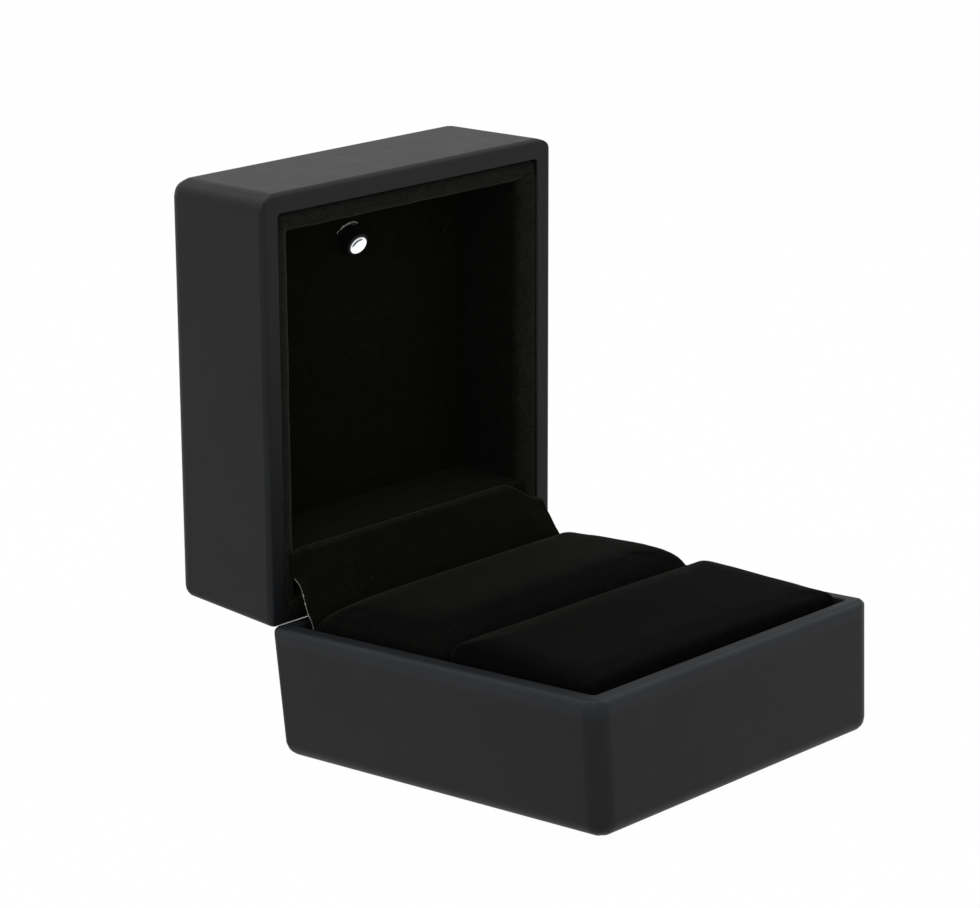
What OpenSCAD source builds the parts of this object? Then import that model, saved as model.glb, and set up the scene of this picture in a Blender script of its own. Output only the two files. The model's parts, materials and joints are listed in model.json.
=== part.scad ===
// Lighted ring box: rounded base and hinged lid, ring pads with a slot, and a small lamp in the lid.
// Origin at the middle of the base's underside, X to the right, Y to the hinge, Z up. Millimetres.
// The lid is drawn shut, with its rim down, and is then turned open about the hinge pin.

/* [Shells] */
// Width of both shells across the front
box_w = 60; // [56:1:75]
// Length of both shells from the front to the hinge side
box_l = 65; // [63:1:80]
// Height of the base shell
base_h = 20; // [19:0.5:26]
// Height of the lid shell
lid_h = 21; // [20:0.5:28]
// Gap between the two rims when shut
rim_gap = 0.2; // [0.1:0.05:0.5]
// Wall of the base shell at its rim
base_wall = 2.75; // [2.4:0.05:3.2]
// Wall of the lid shell at its rim
lid_wall = 3.1; // [2.6:0.05:3.4]
// Thickness of the base shell's floor
floor_t = 2.2; // [1.8:0.1:2.8]
// Thickness of the lid shell's roof
roof_t = 2.4; // [2.2:0.1:2.8]
// Lean of the side walls from upright, so that the shells leave their moulds
draft_deg = 1.3; // [0.5:0.1:2]
// Radius of the two upright corners at the front
front_corner_r = 3; // [2.6:0.1:5]
// Radius of the two upright corners at the hinge side
back_corner_r = 1.2; // [1:0.1:2]
// Rounding along both rims
rim_r = 0.9; // [0.5:0.05:1.1]
// Rounding along the underside of the base and the top of the lid
face_r = 2.25; // [1.5:0.05:2.5]

/* [Hinge] */
// Angle of the lid when it stands open, counted from shut
open_deg = 85.5; // [60:0.5:88]
// Distance of the hinge pin's middle inside the back faces
pin_inset = 0.35; // [0.25:0.05:0.5]
// Diameter of the hinge pin
pin_d = 0.8; // [0.6:0.05:0.9]
// Radial clearance of the pin in its knuckles
pin_play = 0.03; // [0.02:0.01:0.08]
// Outer diameter of the hinge knuckles
knuckle_d = 1.6; // [1.5:0.05:1.7]
// Number of hinge knuckles
knuckles = 5; // [3:2:7]
// Gap between neighbouring knuckles
knuckle_gap = 0.2; // [0.1:0.05:0.4]
// Length of the hinge along the pin
hinge_w = 36; // [28:1:40]
// Sheet thickness of the hinge leaves
leaf_t = 0.4; // [0.3:0.05:0.5]
// Height of each hinge leaf on its wall
leaf_h = 9; // [7:0.5:10]
// Clearance of the knuckles and arms in the rims
hinge_clear = 0.15; // [0.1:0.05:0.2]
// Number of screws in each hinge leaf
leaf_screws = 3; // [2:1:4]

/* [Ring pads] */
// Middle of the slot for the ring, from the box's middle
slot_y = -0.3; // [-2:0.1:2]
// Width of the slot for the ring
slot_w = 1.8; // [1.2:0.1:3]
// Highest point of the rear pad above the base's rim
rear_crown = 4.1; // [3:0.1:5]
// Highest point of the front pad above the base's rim
front_crown = 3.3; // [2.6:0.1:4.5]
// Fall of the front pad's top from the slot to the front
front_fall = 2.2; // [0:0.1:2.4]
// Thickness of the padding over the firm cores
pad_cover_t = 1.1; // [0.8:0.1:1.5]
// Clearance of the pads' ends from the shell's wall
pad_end_gap = 0.5; // [0.3:0.1:1]
// Depth of the padding's lower edge below the rim
pad_skirt = 2; // [1.5:0.1:3]
// Thickness of the card round and under the pads
card_t = 0.9; // [0.7:0.1:1.2]
// Clearance between the cards, the cores and the shell
card_gap = 0.3; // [0.2:0.05:0.4]

/* [Lid lining] */
// Width of the rolled velvet lip round the lid's mouth
roll_d = 2.3; // [2:0.1:2.6]
// Gap between the rolled lip and the lid's wall
roll_gap = 0.4; // [0.3:0.05:0.6]
// Height of the space for the battery, between the back panel and the roof
service_h = 3.1; // [3:0.1:4]
// Height of the lining's ledge above the hinge side of the open lid
ledge_up = 10.6; // [10:0.1:12]
// Thickness of the velvet
velvet_t = 0.5; // [0.4:0.05:0.6]
// Thickness of the lining's card walls
lining_card_t = 1; // [0.8:0.1:1.1]
// Bend radius of the lip's corners along its middle
lip_bend_r = 1.6; // [1.3:0.1:2.5]
// Gap between the velvet ribbon over the hinge and the base's side walls
ribbon_side_gap = 1.25; // [0.6:0.05:4]
// Thickness of the velvet ribbon
ribbon_t = 0.6; // [0.4:0.05:0.8]

/* [Lamp] */
// Diameter of the lamp's body and lens
lamp_d = 3; // [2.8:0.1:3.2]
// Lean of the lamp from straight out of the lid, towards the hinge
lamp_tilt = 24; // [18:1:32]
// Lean of the lamp from straight out of the lid, towards the left
lamp_lean = 5; // [0:1:15]
// Distance of the lamp's lens from the lining's front wall
lamp_from_front = 8.2; // [6.5:0.05:12]
// Distance of the lens in front of the back panel
lamp_out = 2.2; // [1.9:0.05:2.4]
// Rise of the lens' low dome
lens_rise = 0.3; // [0.2:0.05:0.8]
// Wall of the black sleeve on the lamp
sleeve_wall = 0.42; // [0.3:0.02:0.5]
// Length of the lamp's body behind its lens
lamp_body = 3; // [2.6:0.1:3.2]

/* [Battery and switch] */
// Thickness of the circuit board
board_t = 0.8; // [0.6:0.1:0.8]
// Length of the circuit board from its front to its hinge end
board_l = 45; // [43:0.5:46]
// Width of the circuit board
board_w = 36; // [34:1:44]
// Diameter of each button cell
cell_d = 12.5; // [11.6:0.1:13]
// Thickness of each button cell
cell_t = 1.6; // [1.2:0.05:1.6]
// Spacing of the two button cells
cell_pitch = 16; // [15:0.5:17]
// Thickness of the contact straps
strap_t = 0.2; // [0.15:0.05:0.25]
// Diameter of the glass reed switch
reed_d = 1.8; // [1.6:0.1:2]
// Length of the glass reed switch
reed_l = 6; // [5:0.5:7]
// Edge of the square magnet that works the reed switch
magnet_w = 5; // [4:0.5:6]
// Thickness of the magnet
magnet_t = 1.4; // [1.1:0.1:1.5]

/* [Hidden] */
$fn = 48;
eps = 0.01;
seat = 0.02;

half_w = box_w / 2;
half_l = box_l / 2;
lid_rim_z = base_h + rim_gap;
lid_top_z = lid_rim_z + lid_h;
roof_z = lid_top_z - roof_t;
base_in_x = half_w - base_wall;
base_in_y = half_l - base_wall;
lid_in_x = half_w - lid_wall;
lid_in_y = half_l - lid_wall;

// The pin lies level with the base's rim
pin_y = half_l - pin_inset;
pin_z = base_h;
knuckle_l = (hinge_w - (knuckles - 1) * knuckle_gap) / knuckles;
groove_r = knuckle_d / 2 + hinge_clear;
arm_rise = leaf_t + hinge_clear;
hinge_slot_w = hinge_w + 2 * hinge_clear;

base_arm_z = base_h - arm_rise;
lid_arm_z = lid_rim_z + arm_rise - leaf_t;
base_leaf_z = base_arm_z - leaf_h;
lid_leaf_z = lid_arm_z + leaf_h;
base_screw_z = (base_leaf_z + base_arm_z + leaf_t) / 2;
lid_screw_z = (lid_arm_z + lid_leaf_z) / 2;

// Screws of the hinge leaves and of the circuit board
screw_d = 1.4;
screw_head_d = 2.6;
screw_head_t = 0.6;
screw_l = 2.4;
screw_play = 0.02;
screw_tip = 0.1;
board_screw_l = 2.2;
leaf_screw_edge = 4;

// Card surround, floor card and pad cores
card_x = base_in_x - card_gap;
card_front_y = -base_in_y + card_gap;
screw_room = leaf_t + screw_head_t + 2 * card_gap;
card_back_y = base_in_y - screw_room;
card_top_z = base_h - pad_skirt - card_gap;
core_x = card_x - card_t - card_gap;
core_front_y = card_front_y + card_t + card_gap;
core_back_y = card_back_y - card_t - card_gap;
core_z = floor_t + card_t;

// The padding hangs over the card surround up to the walls
pad_x = base_in_x - pad_end_gap;
pad_back_y = card_back_y - card_t - card_gap;
pad_front_y = -base_in_y + pad_end_gap + card_t;
pad_foot_z = base_h - pad_skirt;
rear_slot_y = slot_y + slot_w / 2;
front_slot_y = slot_y - slot_w / 2;

// Lining of the lid, measured in the shut lid
roll_r = roll_d / 2;
roll_x = lid_in_x - roll_gap - roll_r;
roll_y = lid_in_y - roll_gap - roll_r;
lining_in_x = roll_x - roll_r;
lining_in_y = roll_y - roll_r;
panel_z = roof_z - service_h - lining_card_t - velvet_t;
panel_card_z = panel_z + velvet_t;
panel_back_z = panel_card_z + lining_card_t;
ledge_y = half_l - ledge_up;
ledge_back_y = ledge_y + velvet_t + lining_card_t;
lining_out_x = lining_in_x + velvet_t + lining_card_t;
lining_front_y = -(lining_in_y + velvet_t + lining_card_t);
card_edge_z = lid_rim_z + roll_r;

// The firm cores stay under the shut lid's lip and ledge
core_clear = 0.6;
core_edge_z = lid_rim_z - core_clear;
core_mid_x = lining_in_x - core_clear;
core_mid_back_y = ledge_y - core_clear;
core_mid_front_y = -(lining_in_y - core_clear);
shoulder_drop = 0.6;
core_step = 1;
core_low_rise = 0.33;
core_sink = 1;
raised_x = core_mid_x - core_step;
rear_raised_z = base_h + rear_crown - shoulder_drop - pad_cover_t;
front_high_z = base_h + front_crown - shoulder_drop - pad_cover_t;
front_low_z = base_h + front_crown - front_fall - pad_cover_t + core_low_rise;

// Circuit board under the roof, cells under the board
board_roof_gap = 0.15;
board_front_gap = 2.4;
board_z = roof_z - board_roof_gap - board_t;
board_front_y = -(lid_in_y - board_front_gap);
board_back_y = board_front_y + board_l;
cell_gap = 0.1;
cell_front = 21;
cell_lip = 1.2;
cell_can_h = 0.75 * cell_t;
cell_z = board_z - cell_gap - cell_t;
cell_y = board_front_y + cell_front;
strap_w = 0.4 * cell_d;
strap_play = 0.3;
strap_reach = cell_d / 2 + strap_play;
strap_foot = 2.6;
rivet_d = 1.2;
rivet_h = 2 * strap_t;
post_d = 3;
post_play = 0.5;
post_side = 2.6;
post_front = 3.6;
post_back = 1;
post_x = lining_out_x - post_side;
post_front_y = lining_front_y + post_front;
post_back_y = ledge_y - post_back;
board_screw_side = 2.2;
board_screw_back = 6;
board_screw_x = board_w / 2 - board_screw_side;
board_screw_y = board_back_y - board_screw_back;

// Resistor beside the lamp's leads
resistor_w = 3.2;
resistor_l = 1.6;
resistor_t = 0.55;
resistor_gap = 4;

// Lamp in the shut lid, with its lens' rim at the head of its axis
lamp_r = lamp_d / 2;
lens_r = (lamp_r * lamp_r / lens_rise + lens_rise) / 2;
lamp_y = lamp_from_front - lining_in_y;
lamp_z = panel_z - lamp_out;
lens_show = 0.1;
sleeve_r = lamp_r + sleeve_wall;
lamp_play = 0.03;
sleeve_play = 0.1;
flange_lip = 0.4;
flange_r = lamp_r + flange_lip;
flange_t = 1;
lamp_hole_l = 9;
lead_d = 0.5;
lead_play = 0.05;
lead_pitch = 1.27;
lead_run = 0.8;
lamp_back = lamp_body + flange_t;
lead_bend = lamp_back + lead_run;
resistor_y = lamp_point(0, lead_bend)[1] + resistor_gap;

// Reed switch beside the hinge in the lid, magnet beside it in the base
reed_wire_d = 0.4;
reed_lead_l = 0.5;
reed_side_gap = 2.5;
reed_x = lid_in_x - reed_l / 2 - reed_lead_l - reed_side_gap;
reed_holder_t = 0.8;
reed_holder_w = 3;
reed_holder_edge = 0.7;
reed_holder_gap = 0.4;
reed_holder_h = reed_d + 2 * reed_holder_edge;
reed_y = lid_in_y - reed_holder_t - reed_d / 2;
reed_z = lid_leaf_z + reed_holder_h / 2 + reed_holder_gap;
reed_wire_drop = 0.5;
reed_top_z = board_z - reed_wire_drop;
reed_wire_step = 0.8;
reed_wire_inset = 2;
reed_wire_back = 1.5;
magnet_side_gap = 2;
magnet_drop = 0.5;
magnet_x = base_in_x - magnet_w / 2 - magnet_side_gap;
magnet_z = card_top_z - magnet_w - magnet_drop;

// Velvet ribbon: a curve from the lid's ledge down to the card behind the rear pad
ribbon_w = 2 * (base_in_x - ribbon_side_gap);
ribbon_gap = 0.1;
ribbon_top = opened([ledge_y + velvet_t / 2, lid_rim_z - ribbon_t / 2 - ribbon_gap]);
ribbon_foot_y = card_back_y - card_t / 2 - ribbon_t / 2;
ribbon_foot_z = card_top_z + ribbon_gap;
ribbon_sag = 2.9;
ribbon_bulge = 0.8;
ribbon_drop = 2.6;
ribbon_rise = 5;
ribbon_steps = 14;

// Where a point of the shut lid, as [y, z], lies once the lid stands open
function opened(p) =
    let (y = p[0] - pin_y, z = p[1] - pin_z)
    [
        pin_y + y * cos(open_deg) + z * sin(open_deg),
        pin_z - y * sin(open_deg) + z * cos(open_deg)
    ];

// Where a point of the lamp lies in the shut lid, x beside its axis and so far back along it
function lamp_point(x, back) =
    let (up = back * cos(lamp_tilt))
    [
        x * cos(lamp_lean) + up * sin(lamp_lean),
        lamp_y - back * sin(lamp_tilt),
        lamp_z - x * sin(lamp_lean) + up * cos(lamp_lean)
    ];

// Turns what is drawn for the shut lid to the standing lid
module open_lid() {
    translate([0, pin_y, pin_z])
        rotate([-open_deg, 0, 0])
            translate([0, -pin_y, -pin_z])
                children();
}

// A box that is centred on X between two Y and two Z values
module slab(width, y0, y1, z0, z1) {
    translate([-width / 2, y0, z0])
        cube([width, y1 - y0, z1 - z0]);
}

// A cylinder along X, centred on X
module bar(r, length, y, z) {
    translate([-length / 2, y, z])
        rotate([0, 90, 0])
            cylinder(r = r, h = length);
}

// Inset of the leaning side wall at a distance from the rim
function wall_inset(drop) = drop * tan(draft_deg);

// Side view of a shell, its face at height 0 and its rim at height h, with all four edges rounded
module shell_outline(half, h) {
    rim_x = half - rim_r / cos(draft_deg) - wall_inset(rim_r);
    face_x = half - face_r / cos(draft_deg) - wall_inset(h - face_r);
    polygon([
        [-face_x, 0], [face_x, 0],
        [face_x + face_r * cos(draft_deg), face_r - face_r * sin(draft_deg)],
        [rim_x + rim_r * cos(draft_deg), h - rim_r - rim_r * sin(draft_deg)],
        [rim_x, h], [-rim_x, h],
        [-rim_x - rim_r * cos(draft_deg), h - rim_r - rim_r * sin(draft_deg)],
        [-face_x - face_r * cos(draft_deg), face_r - face_r * sin(draft_deg)]
    ]);
    for (side = [-1, 1]) {
        translate([side * rim_x, h - rim_r])
            circle(r = rim_r);
        translate([side * face_x, face_r])
            circle(r = face_r);
    }
}

module outline_along_x(length, h) {
    translate([-length / 2, 0, 0])
        rotate([90, 0, 90])
            linear_extrude(length)
                shell_outline(half_l, h);
}

module outline_along_y(y0, y1, h) {
    translate([0, y1, 0])
        rotate([90, 0, 0])
            linear_extrude(y1 - y0)
                shell_outline(half_w, h);
}

// The rounded upright corner at the front, as a turned piece
module front_corner(h) {
    rotate_extrude()
        intersection() {
            translate([front_corner_r - half_w, 0])
                shell_outline(half_w, h);
            translate([0, -1])
                square([front_corner_r + 1, h + 2]);
        }
}

// The tighter upright corner at the hinge side, cut to follow the leaning walls
module back_corner(side, h) {
    reach = front_corner_r;
    intersection() {
        outline_along_x(box_w, h);
        outline_along_y(-half_l, half_l, h);
        translate([side > 0 ? half_w - reach : -half_w, half_l - reach, 0])
            cube([reach, reach, h]);
        translate([side * (half_w - back_corner_r), half_l - back_corner_r, h])
            rotate([-draft_deg, side * draft_deg, 0])
                union() {
                    translate([0, 0, -2 * h])
                        cylinder(r = back_corner_r, h = 3 * h);
                    translate([side > 0 ? -2 * reach : 0, -2 * reach, -2 * h])
                        cube([2 * reach, 2 * reach + back_corner_r, 3 * h]);
                    translate([side > 0 ? -2 * reach : -back_corner_r, -2 * reach, -2 * h])
                        cube([2 * reach + back_corner_r, 2 * reach, 3 * h]);
                }
    }
}

// Solid outside form of a shell, its face at height 0 and its rim at height h
module shell_body(h) {
    outline_along_x(box_w - 2 * front_corner_r, h);
    outline_along_y(-half_l + front_corner_r, half_l - front_corner_r, h);
    for (side = [-1, 1]) {
        translate([side * (half_w - front_corner_r), -half_l + front_corner_r, 0])
            front_corner(h);
        back_corner(side, h);
    }
}

// Places of the screws along a hinge leaf
function screw_x(i) = (i / (leaf_screws - 1) - 1 / 2) * (hinge_w - 2 * leaf_screw_edge);

module base_shell() {
    color("#2b2d30")
        difference() {
            shell_body(base_h);
            slab(2 * base_in_x, -base_in_y, base_in_y, floor_t, base_h + 1);
            bar(groove_r, hinge_slot_w, pin_y, pin_z);
            slab(hinge_slot_w, base_in_y - 1, pin_y, base_arm_z - hinge_clear, base_h + 1);
            leaf_screw_holes(base_in_y, base_screw_z);
        }
}

module lid_shell() {
    color("#2b2d30")
        open_lid()
            difference() {
                union() {
                    difference() {
                        translate([0, 0, lid_top_z])
                            mirror([0, 0, 1])
                                shell_body(lid_h);
                        slab(2 * lid_in_x, -lid_in_y, lid_in_y, lid_rim_z - 1, roof_z);
                    }
                    panel_posts();
                }
                bar(groove_r, hinge_slot_w, pin_y, pin_z);
                slab(hinge_slot_w, lid_in_y - 1, pin_y, lid_rim_z - 1, lid_arm_z + leaf_t + hinge_clear);
                leaf_screw_holes(lid_in_y, lid_screw_z);
                board_screw_holes();
            }
}

// Posts under the roof that the back panel rests on
module panel_posts() {
    for (side = [-1, 1], y = [post_front_y, post_back_y])
        translate([side * post_x, y, panel_back_z])
            cylinder(d = post_d, h = roof_z - panel_back_z + eps);
}

module leaf_screw_holes(wall_y, z) {
    for (i = [0:leaf_screws - 1])
        translate([screw_x(i), wall_y - eps, z])
            rotate([-90, 0, 0])
                cylinder(d = screw_d + 2 * screw_play, h = screw_l - leaf_t + screw_tip);
}

module board_screw_holes() {
    for (side = [-1, 1])
        translate([side * board_screw_x, board_screw_y, roof_z - eps])
            cylinder(d = screw_d + 2 * screw_play, h = board_screw_l + screw_tip - board_t);
}

module floor_card() {
    color("#6e6a62")
        slab(2 * core_x, core_front_y, core_back_y, floor_t, core_z);
}

// Card frame that stands round the pads
module card_surround() {
    color("#17181a")
        difference() {
            slab(2 * card_x, card_front_y, card_back_y, floor_t, card_top_z);
            slab(2 * (card_x - card_t), card_front_y + card_t, card_back_y - card_t,
                floor_t - 1, card_top_z + 1);
        }
}

// Raised middle of a firm core, where the shut lid's hollow lies over it, with its top from z0 to z1
module raised_core(play, y0, y1, z0, z1) {
    low_z = pad_foot_z - core_sink;
    slab(2 * (core_mid_x + play), y0 - play, y1 + play, low_z, core_edge_z + play);
    translate([-raised_x - play, 0, 0])
        rotate([90, 0, 90])
            linear_extrude(2 * (raised_x + play))
                polygon([
                    [y0 + core_step - play, low_z], [y1 - core_step + play, low_z],
                    [y1 - core_step + play, z1 + play], [y0 + core_step - play, z0 + play]
                ]);
}

module rear_raised(play) {
    raised_core(play, rear_slot_y + pad_cover_t, core_mid_back_y, rear_raised_z, rear_raised_z);
}

module front_raised(play) {
    raised_core(play, core_mid_front_y, front_slot_y - pad_cover_t, front_low_z, front_high_z);
}

module rear_pad_core() {
    color("#202123") {
        slab(2 * core_x, rear_slot_y, core_back_y, core_z, pad_foot_z - seat);
        rear_raised(0);
    }
}

module front_pad_core() {
    color("#202123") {
        slab(2 * core_x, core_front_y, front_slot_y, core_z, pad_foot_z - seat);
        front_raised(0);
    }
}

// Cushion top: rounded over at every edge, crowned along both ways, with sides drawn in between corners
pad_cols = 26;
pad_rows = 14;
edge_power = 4.5;
end_power = 8;
draw_in = 0.35;
end_drop = 0.5;
fall_from = 0.6;
thin_edge = 0.02;

// Even steps that crowd towards both ends
function eased(i, n) = sin(180 * i / n - 90);

function cushion_edge(u, power) = pow(max(0, 1 - pow(abs(u), power)), 1 / power);

function cushion_point(i, j, y0, y1, crown, fall) =
    let (
        u = eased(i, pad_cols),
        v = eased(j, pad_rows),
        mid = (y0 + y1) / 2,
        half = (y1 - y0) / 2 - draw_in * (1 - u * u) * abs(v),
        width = pad_x - draw_in * (1 - v * v) * abs(u),
        rise = crown + pad_skirt - end_drop * u * u + fall * (v - fall_from) / 2,
        top = rise * cushion_edge(u, end_power) * cushion_edge(v, edge_power)
    )
    [u * width, mid + v * half, pad_foot_z + max(top, thin_edge)];

module cushion(y0, y1, crown, fall) {
    cols = pad_cols + 1;
    rows = pad_rows + 1;
    count = cols * rows;
    top = [for (j = [0:pad_rows], i = [0:pad_cols]) cushion_point(i, j, y0, y1, crown, fall)];
    foot = [for (p = top) [p[0], p[1], pad_foot_z]];
    rim = concat(
        [for (i = [0:pad_cols]) i],
        [for (j = [1:pad_rows]) j * cols + pad_cols],
        [for (i = [1:pad_cols]) pad_rows * cols + pad_cols - i],
        [for (j = [1:pad_rows - 1]) (pad_rows - j) * cols]
    );
    faces = concat(
        [for (j = [0:pad_rows - 1], i = [0:pad_cols - 1]) [j * cols + i, (j + 1) * cols + i, j * cols + i + 1]],
        [for (j = [0:pad_rows - 1], i = [0:pad_cols - 1])
            [j * cols + i + 1, (j + 1) * cols + i, (j + 1) * cols + i + 1]],
        [for (k = [0:len(rim) - 1]) [rim[k], rim[(k + 1) % len(rim)], count + rim[k]]],
        [for (k = [0:len(rim) - 1]) [rim[(k + 1) % len(rim)], count + rim[(k + 1) % len(rim)], count + rim[k]]],
        [[for (k = [0:len(rim) - 1]) count + rim[k]]]
    );
    polyhedron(points = concat(top, foot), faces = faces, convexity = 4);
}

module rear_ring_pad() {
    color("#1c1c1e")
        difference() {
            cushion(rear_slot_y, pad_back_y, rear_crown, 0);
            rear_raised(seat);
        }
}

module front_ring_pad() {
    color("#1c1c1e")
        difference() {
            cushion(pad_front_y, front_slot_y, front_crown, front_fall);
            front_raised(seat);
        }
}

// Middle of a knuckle along X
function knuckle_x(i) = (i - (knuckles - 1) / 2) * (knuckle_l + knuckle_gap);

// One hinge leaf: a plate on the wall, and an arm and a knuckle for every second place
module hinge_leaf(first, plate_y, plate_z0, plate_z1, arm_z) {
    difference() {
        union() {
            slab(hinge_w, plate_y - leaf_t, plate_y, plate_z0, plate_z1);
            for (i = [first:2:knuckles - 1])
                translate([knuckle_x(i), 0, 0]) {
                    slab(knuckle_l, plate_y - leaf_t, pin_y, arm_z, arm_z + leaf_t);
                    bar(knuckle_d / 2, knuckle_l, pin_y, pin_z);
                }
        }
        bar(pin_d / 2 + pin_play, hinge_w + 2, pin_y, pin_z);
        for (i = [0:leaf_screws - 1])
            translate([screw_x(i), plate_y - leaf_t - 1, (plate_z0 + plate_z1) / 2])
                rotate([-90, 0, 0])
                    cylinder(d = screw_d + 2 * screw_play, h = leaf_t + 2);
    }
}

module leaf_screws_at(plate_y, z) {
    for (i = [0:leaf_screws - 1])
        translate([screw_x(i), plate_y - leaf_t, z])
            rotate([-90, 0, 0]) {
                translate([0, 0, -screw_head_t])
                    cylinder(d = screw_head_d, h = screw_head_t);
                cylinder(d = screw_d, h = screw_l);
            }
}

module hinge_base_leaf() {
    color("#8d8f92")
        hinge_leaf(0, base_in_y, base_leaf_z, base_arm_z + leaf_t, base_arm_z);
}

module hinge_base_screws() {
    color("#a7a9ac")
        leaf_screws_at(base_in_y, base_screw_z);
}

module hinge_lid_leaf() {
    color("#8d8f92")
        open_lid()
            hinge_leaf(1, lid_in_y, lid_arm_z, lid_leaf_z, lid_arm_z);
}

module hinge_lid_screws() {
    color("#a7a9ac")
        open_lid()
            leaf_screws_at(lid_in_y, lid_screw_z);
}

module hinge_pin() {
    color("#a7a9ac")
        bar(pin_d / 2, hinge_w, pin_y, pin_z);
}

// Velvet ribbon over the hinge
function ribbon_point(t) =
    let (s = 1 - t)
    [
        s * s * s * ribbon_top[0] + 3 * s * s * t * (ribbon_top[0] - ribbon_sag)
            + 3 * s * t * t * (ribbon_foot_y + ribbon_bulge) + t * t * t * ribbon_foot_y,
        s * s * s * ribbon_top[1] + 3 * s * s * t * (ribbon_top[1] - ribbon_drop)
            + 3 * s * t * t * (ribbon_foot_z + ribbon_rise) + t * t * t * ribbon_foot_z
    ];

function ribbon_side(t, side) =
    let (
        a = ribbon_point(max(0, t - 0.01)),
        b = ribbon_point(min(1, t + 0.01)),
        d = b - a,
        n = [-d[1], d[0]] / norm(d)
    )
    ribbon_point(t) + side * ribbon_t / 2 * n;

module hinge_ribbon() {
    color("#1c1c1e")
        translate([-ribbon_w / 2, 0, 0])
            rotate([90, 0, 90])
                linear_extrude(ribbon_w)
                    polygon(concat(
                        [for (i = [0:ribbon_steps]) ribbon_side(i / ribbon_steps, 1)],
                        [for (i = [0:ribbon_steps]) ribbon_side(1 - i / ribbon_steps, -1)]
                    ));
}

module switch_magnet() {
    color("#b9bbbe")
        translate([magnet_x - magnet_w / 2, card_back_y, magnet_z])
            cube([magnet_w, magnet_t, magnet_w]);
}

// Card walls of the lid's lining
module lining_walls(inset, t, edge_z) {
    difference() {
        slab(2 * (lining_in_x + inset + t), -(lining_in_y + inset + t), ledge_y + inset + t,
            edge_z, panel_card_z);
        slab(2 * (lining_in_x + inset), -(lining_in_y + inset), ledge_y + inset,
            edge_z - 1, panel_card_z + 1);
    }
}

module lining_card() {
    color("#6e6a62")
        open_lid()
            lining_walls(velvet_t, lining_card_t, card_edge_z);
}

// Rolled lip along the front and both sides of the lid's mouth
module rolled_lip() {
    z = lid_rim_z + roll_r + seat;
    straight_x = roll_x - lip_bend_r;
    front_y = -roll_y + lip_bend_r;
    bar(roll_r, 2 * straight_x, -roll_y, z);
    for (side = [-1, 1]) {
        translate([side * roll_x, front_y, z])
            rotate([-90, 0, 0])
                cylinder(r = roll_r, h = ledge_y - front_y);
        translate([side * straight_x, front_y, z])
            rotate([0, 0, side > 0 ? -90 : 180])
                rotate_extrude(angle = 90)
                    translate([lip_bend_r, 0])
                        circle(r = roll_r);
    }
}

module lining_velvet() {
    color("#1c1c1e")
        open_lid()
            difference() {
                union() {
                    lining_walls(0, velvet_t, card_edge_z);
                    rolled_lip();
                    slab(2 * lining_in_x, ledge_y, ledge_back_y, lid_rim_z + seat, card_edge_z + eps);
                }
                lining_walls(velvet_t, lining_card_t + 0.1, card_edge_z);
            }
}

// Places a piece on the lamp's axis in the shut lid, the lens' rim at the origin and the body going up
module lamp_axis() {
    translate([0, lamp_y, lamp_z])
        rotate([lamp_tilt, lamp_lean, 0])
            children();
}

// Slanting hole of the lamp through the back panel
module lamp_hole(play) {
    lamp_axis()
        cylinder(r = sleeve_r + play, h = lamp_hole_l);
}

module back_panel_velvet() {
    color("#1c1c1e")
        open_lid()
            difference() {
                slab(2 * lining_in_x, -lining_in_y, ledge_y, panel_z, panel_card_z);
                lamp_hole(sleeve_play);
            }
}

module back_panel_card() {
    color("#6e6a62")
        open_lid()
            difference() {
                slab(2 * lining_out_x, lining_front_y, ledge_back_y, panel_card_z, panel_back_z);
                lamp_hole(flange_r - sleeve_r + sleeve_play);
            }
}

// Lamp with a low domed lens, turned in one piece with its flange
module lamp() {
    color("#f4f7ff")
        open_lid()
            lamp_axis()
                rotate_extrude() {
                    intersection() {
                        translate([0, lens_r - lens_rise])
                            circle(r = lens_r);
                        translate([0, -lens_rise])
                            square([lamp_r, lens_rise + eps]);
                    }
                    square([lamp_r, lamp_body + eps]);
                    translate([0, lamp_body])
                        square([flange_r, flange_t]);
                }
}

module lamp_sleeve() {
    color("#101113")
        open_lid()
            lamp_axis()
                difference() {
                    translate([0, 0, lens_show])
                        cylinder(r = sleeve_r, h = lamp_body - lens_show - seat);
                    translate([0, 0, -1])
                        cylinder(r = lamp_r + lamp_play, h = lamp_body + 2);
                }
}

// A round wire swept along its route. Each ring slides along its stretch to the next mitre plane.
wire_sides = 8;

function unit(v) = v / norm(v);

function mitre(route, k) =
    let (
        last = len(route) - 1,
        before = unit(route[max(k, 1)] - route[max(k, 1) - 1]),
        after = unit(route[min(k, last - 1) + 1] - route[min(k, last - 1)])
    )
    unit(before + after);

function first_ring(route, d) =
    let (
        along = mitre(route, 0),
        side = unit(cross(along, abs(along[0]) < 0.9 ? [1, 0, 0] : [0, 1, 0])),
        up = cross(side, along)
    )
    [for (i = [0:wire_sides - 1])
        route[0] + d / 2 * (cos(360 * i / wire_sides) * side + sin(360 * i / wire_sides) * up)];

function next_ring(route, ring, k) =
    let (
        along = unit(route[k] - route[k - 1]),
        plane = mitre(route, k)
    )
    [for (p = ring) p + along * (((route[k] - p) * plane) / (along * plane))];

function tail_rings(route, ring, k) =
    k == len(route)
        ? []
        : let (next = next_ring(route, ring, k)) concat(next, tail_rings(route, next, k + 1));

module wire(route, d) {
    last = len(route) - 1;
    points = concat(first_ring(route, d), tail_rings(route, first_ring(route, d), 1));
    faces = concat(
        [[for (i = [0:wire_sides - 1]) i]],
        [for (k = [0:last - 1], i = [0:wire_sides - 1])
            let (j = (i + 1) % wire_sides)
            [k * wire_sides + j, k * wire_sides + i, (k + 1) * wire_sides + i, (k + 1) * wire_sides + j]],
        [[for (i = [0:wire_sides - 1]) last * wire_sides + wire_sides - 1 - i]]
    );
    polyhedron(points = points, faces = faces, convexity = 4);
}

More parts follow.
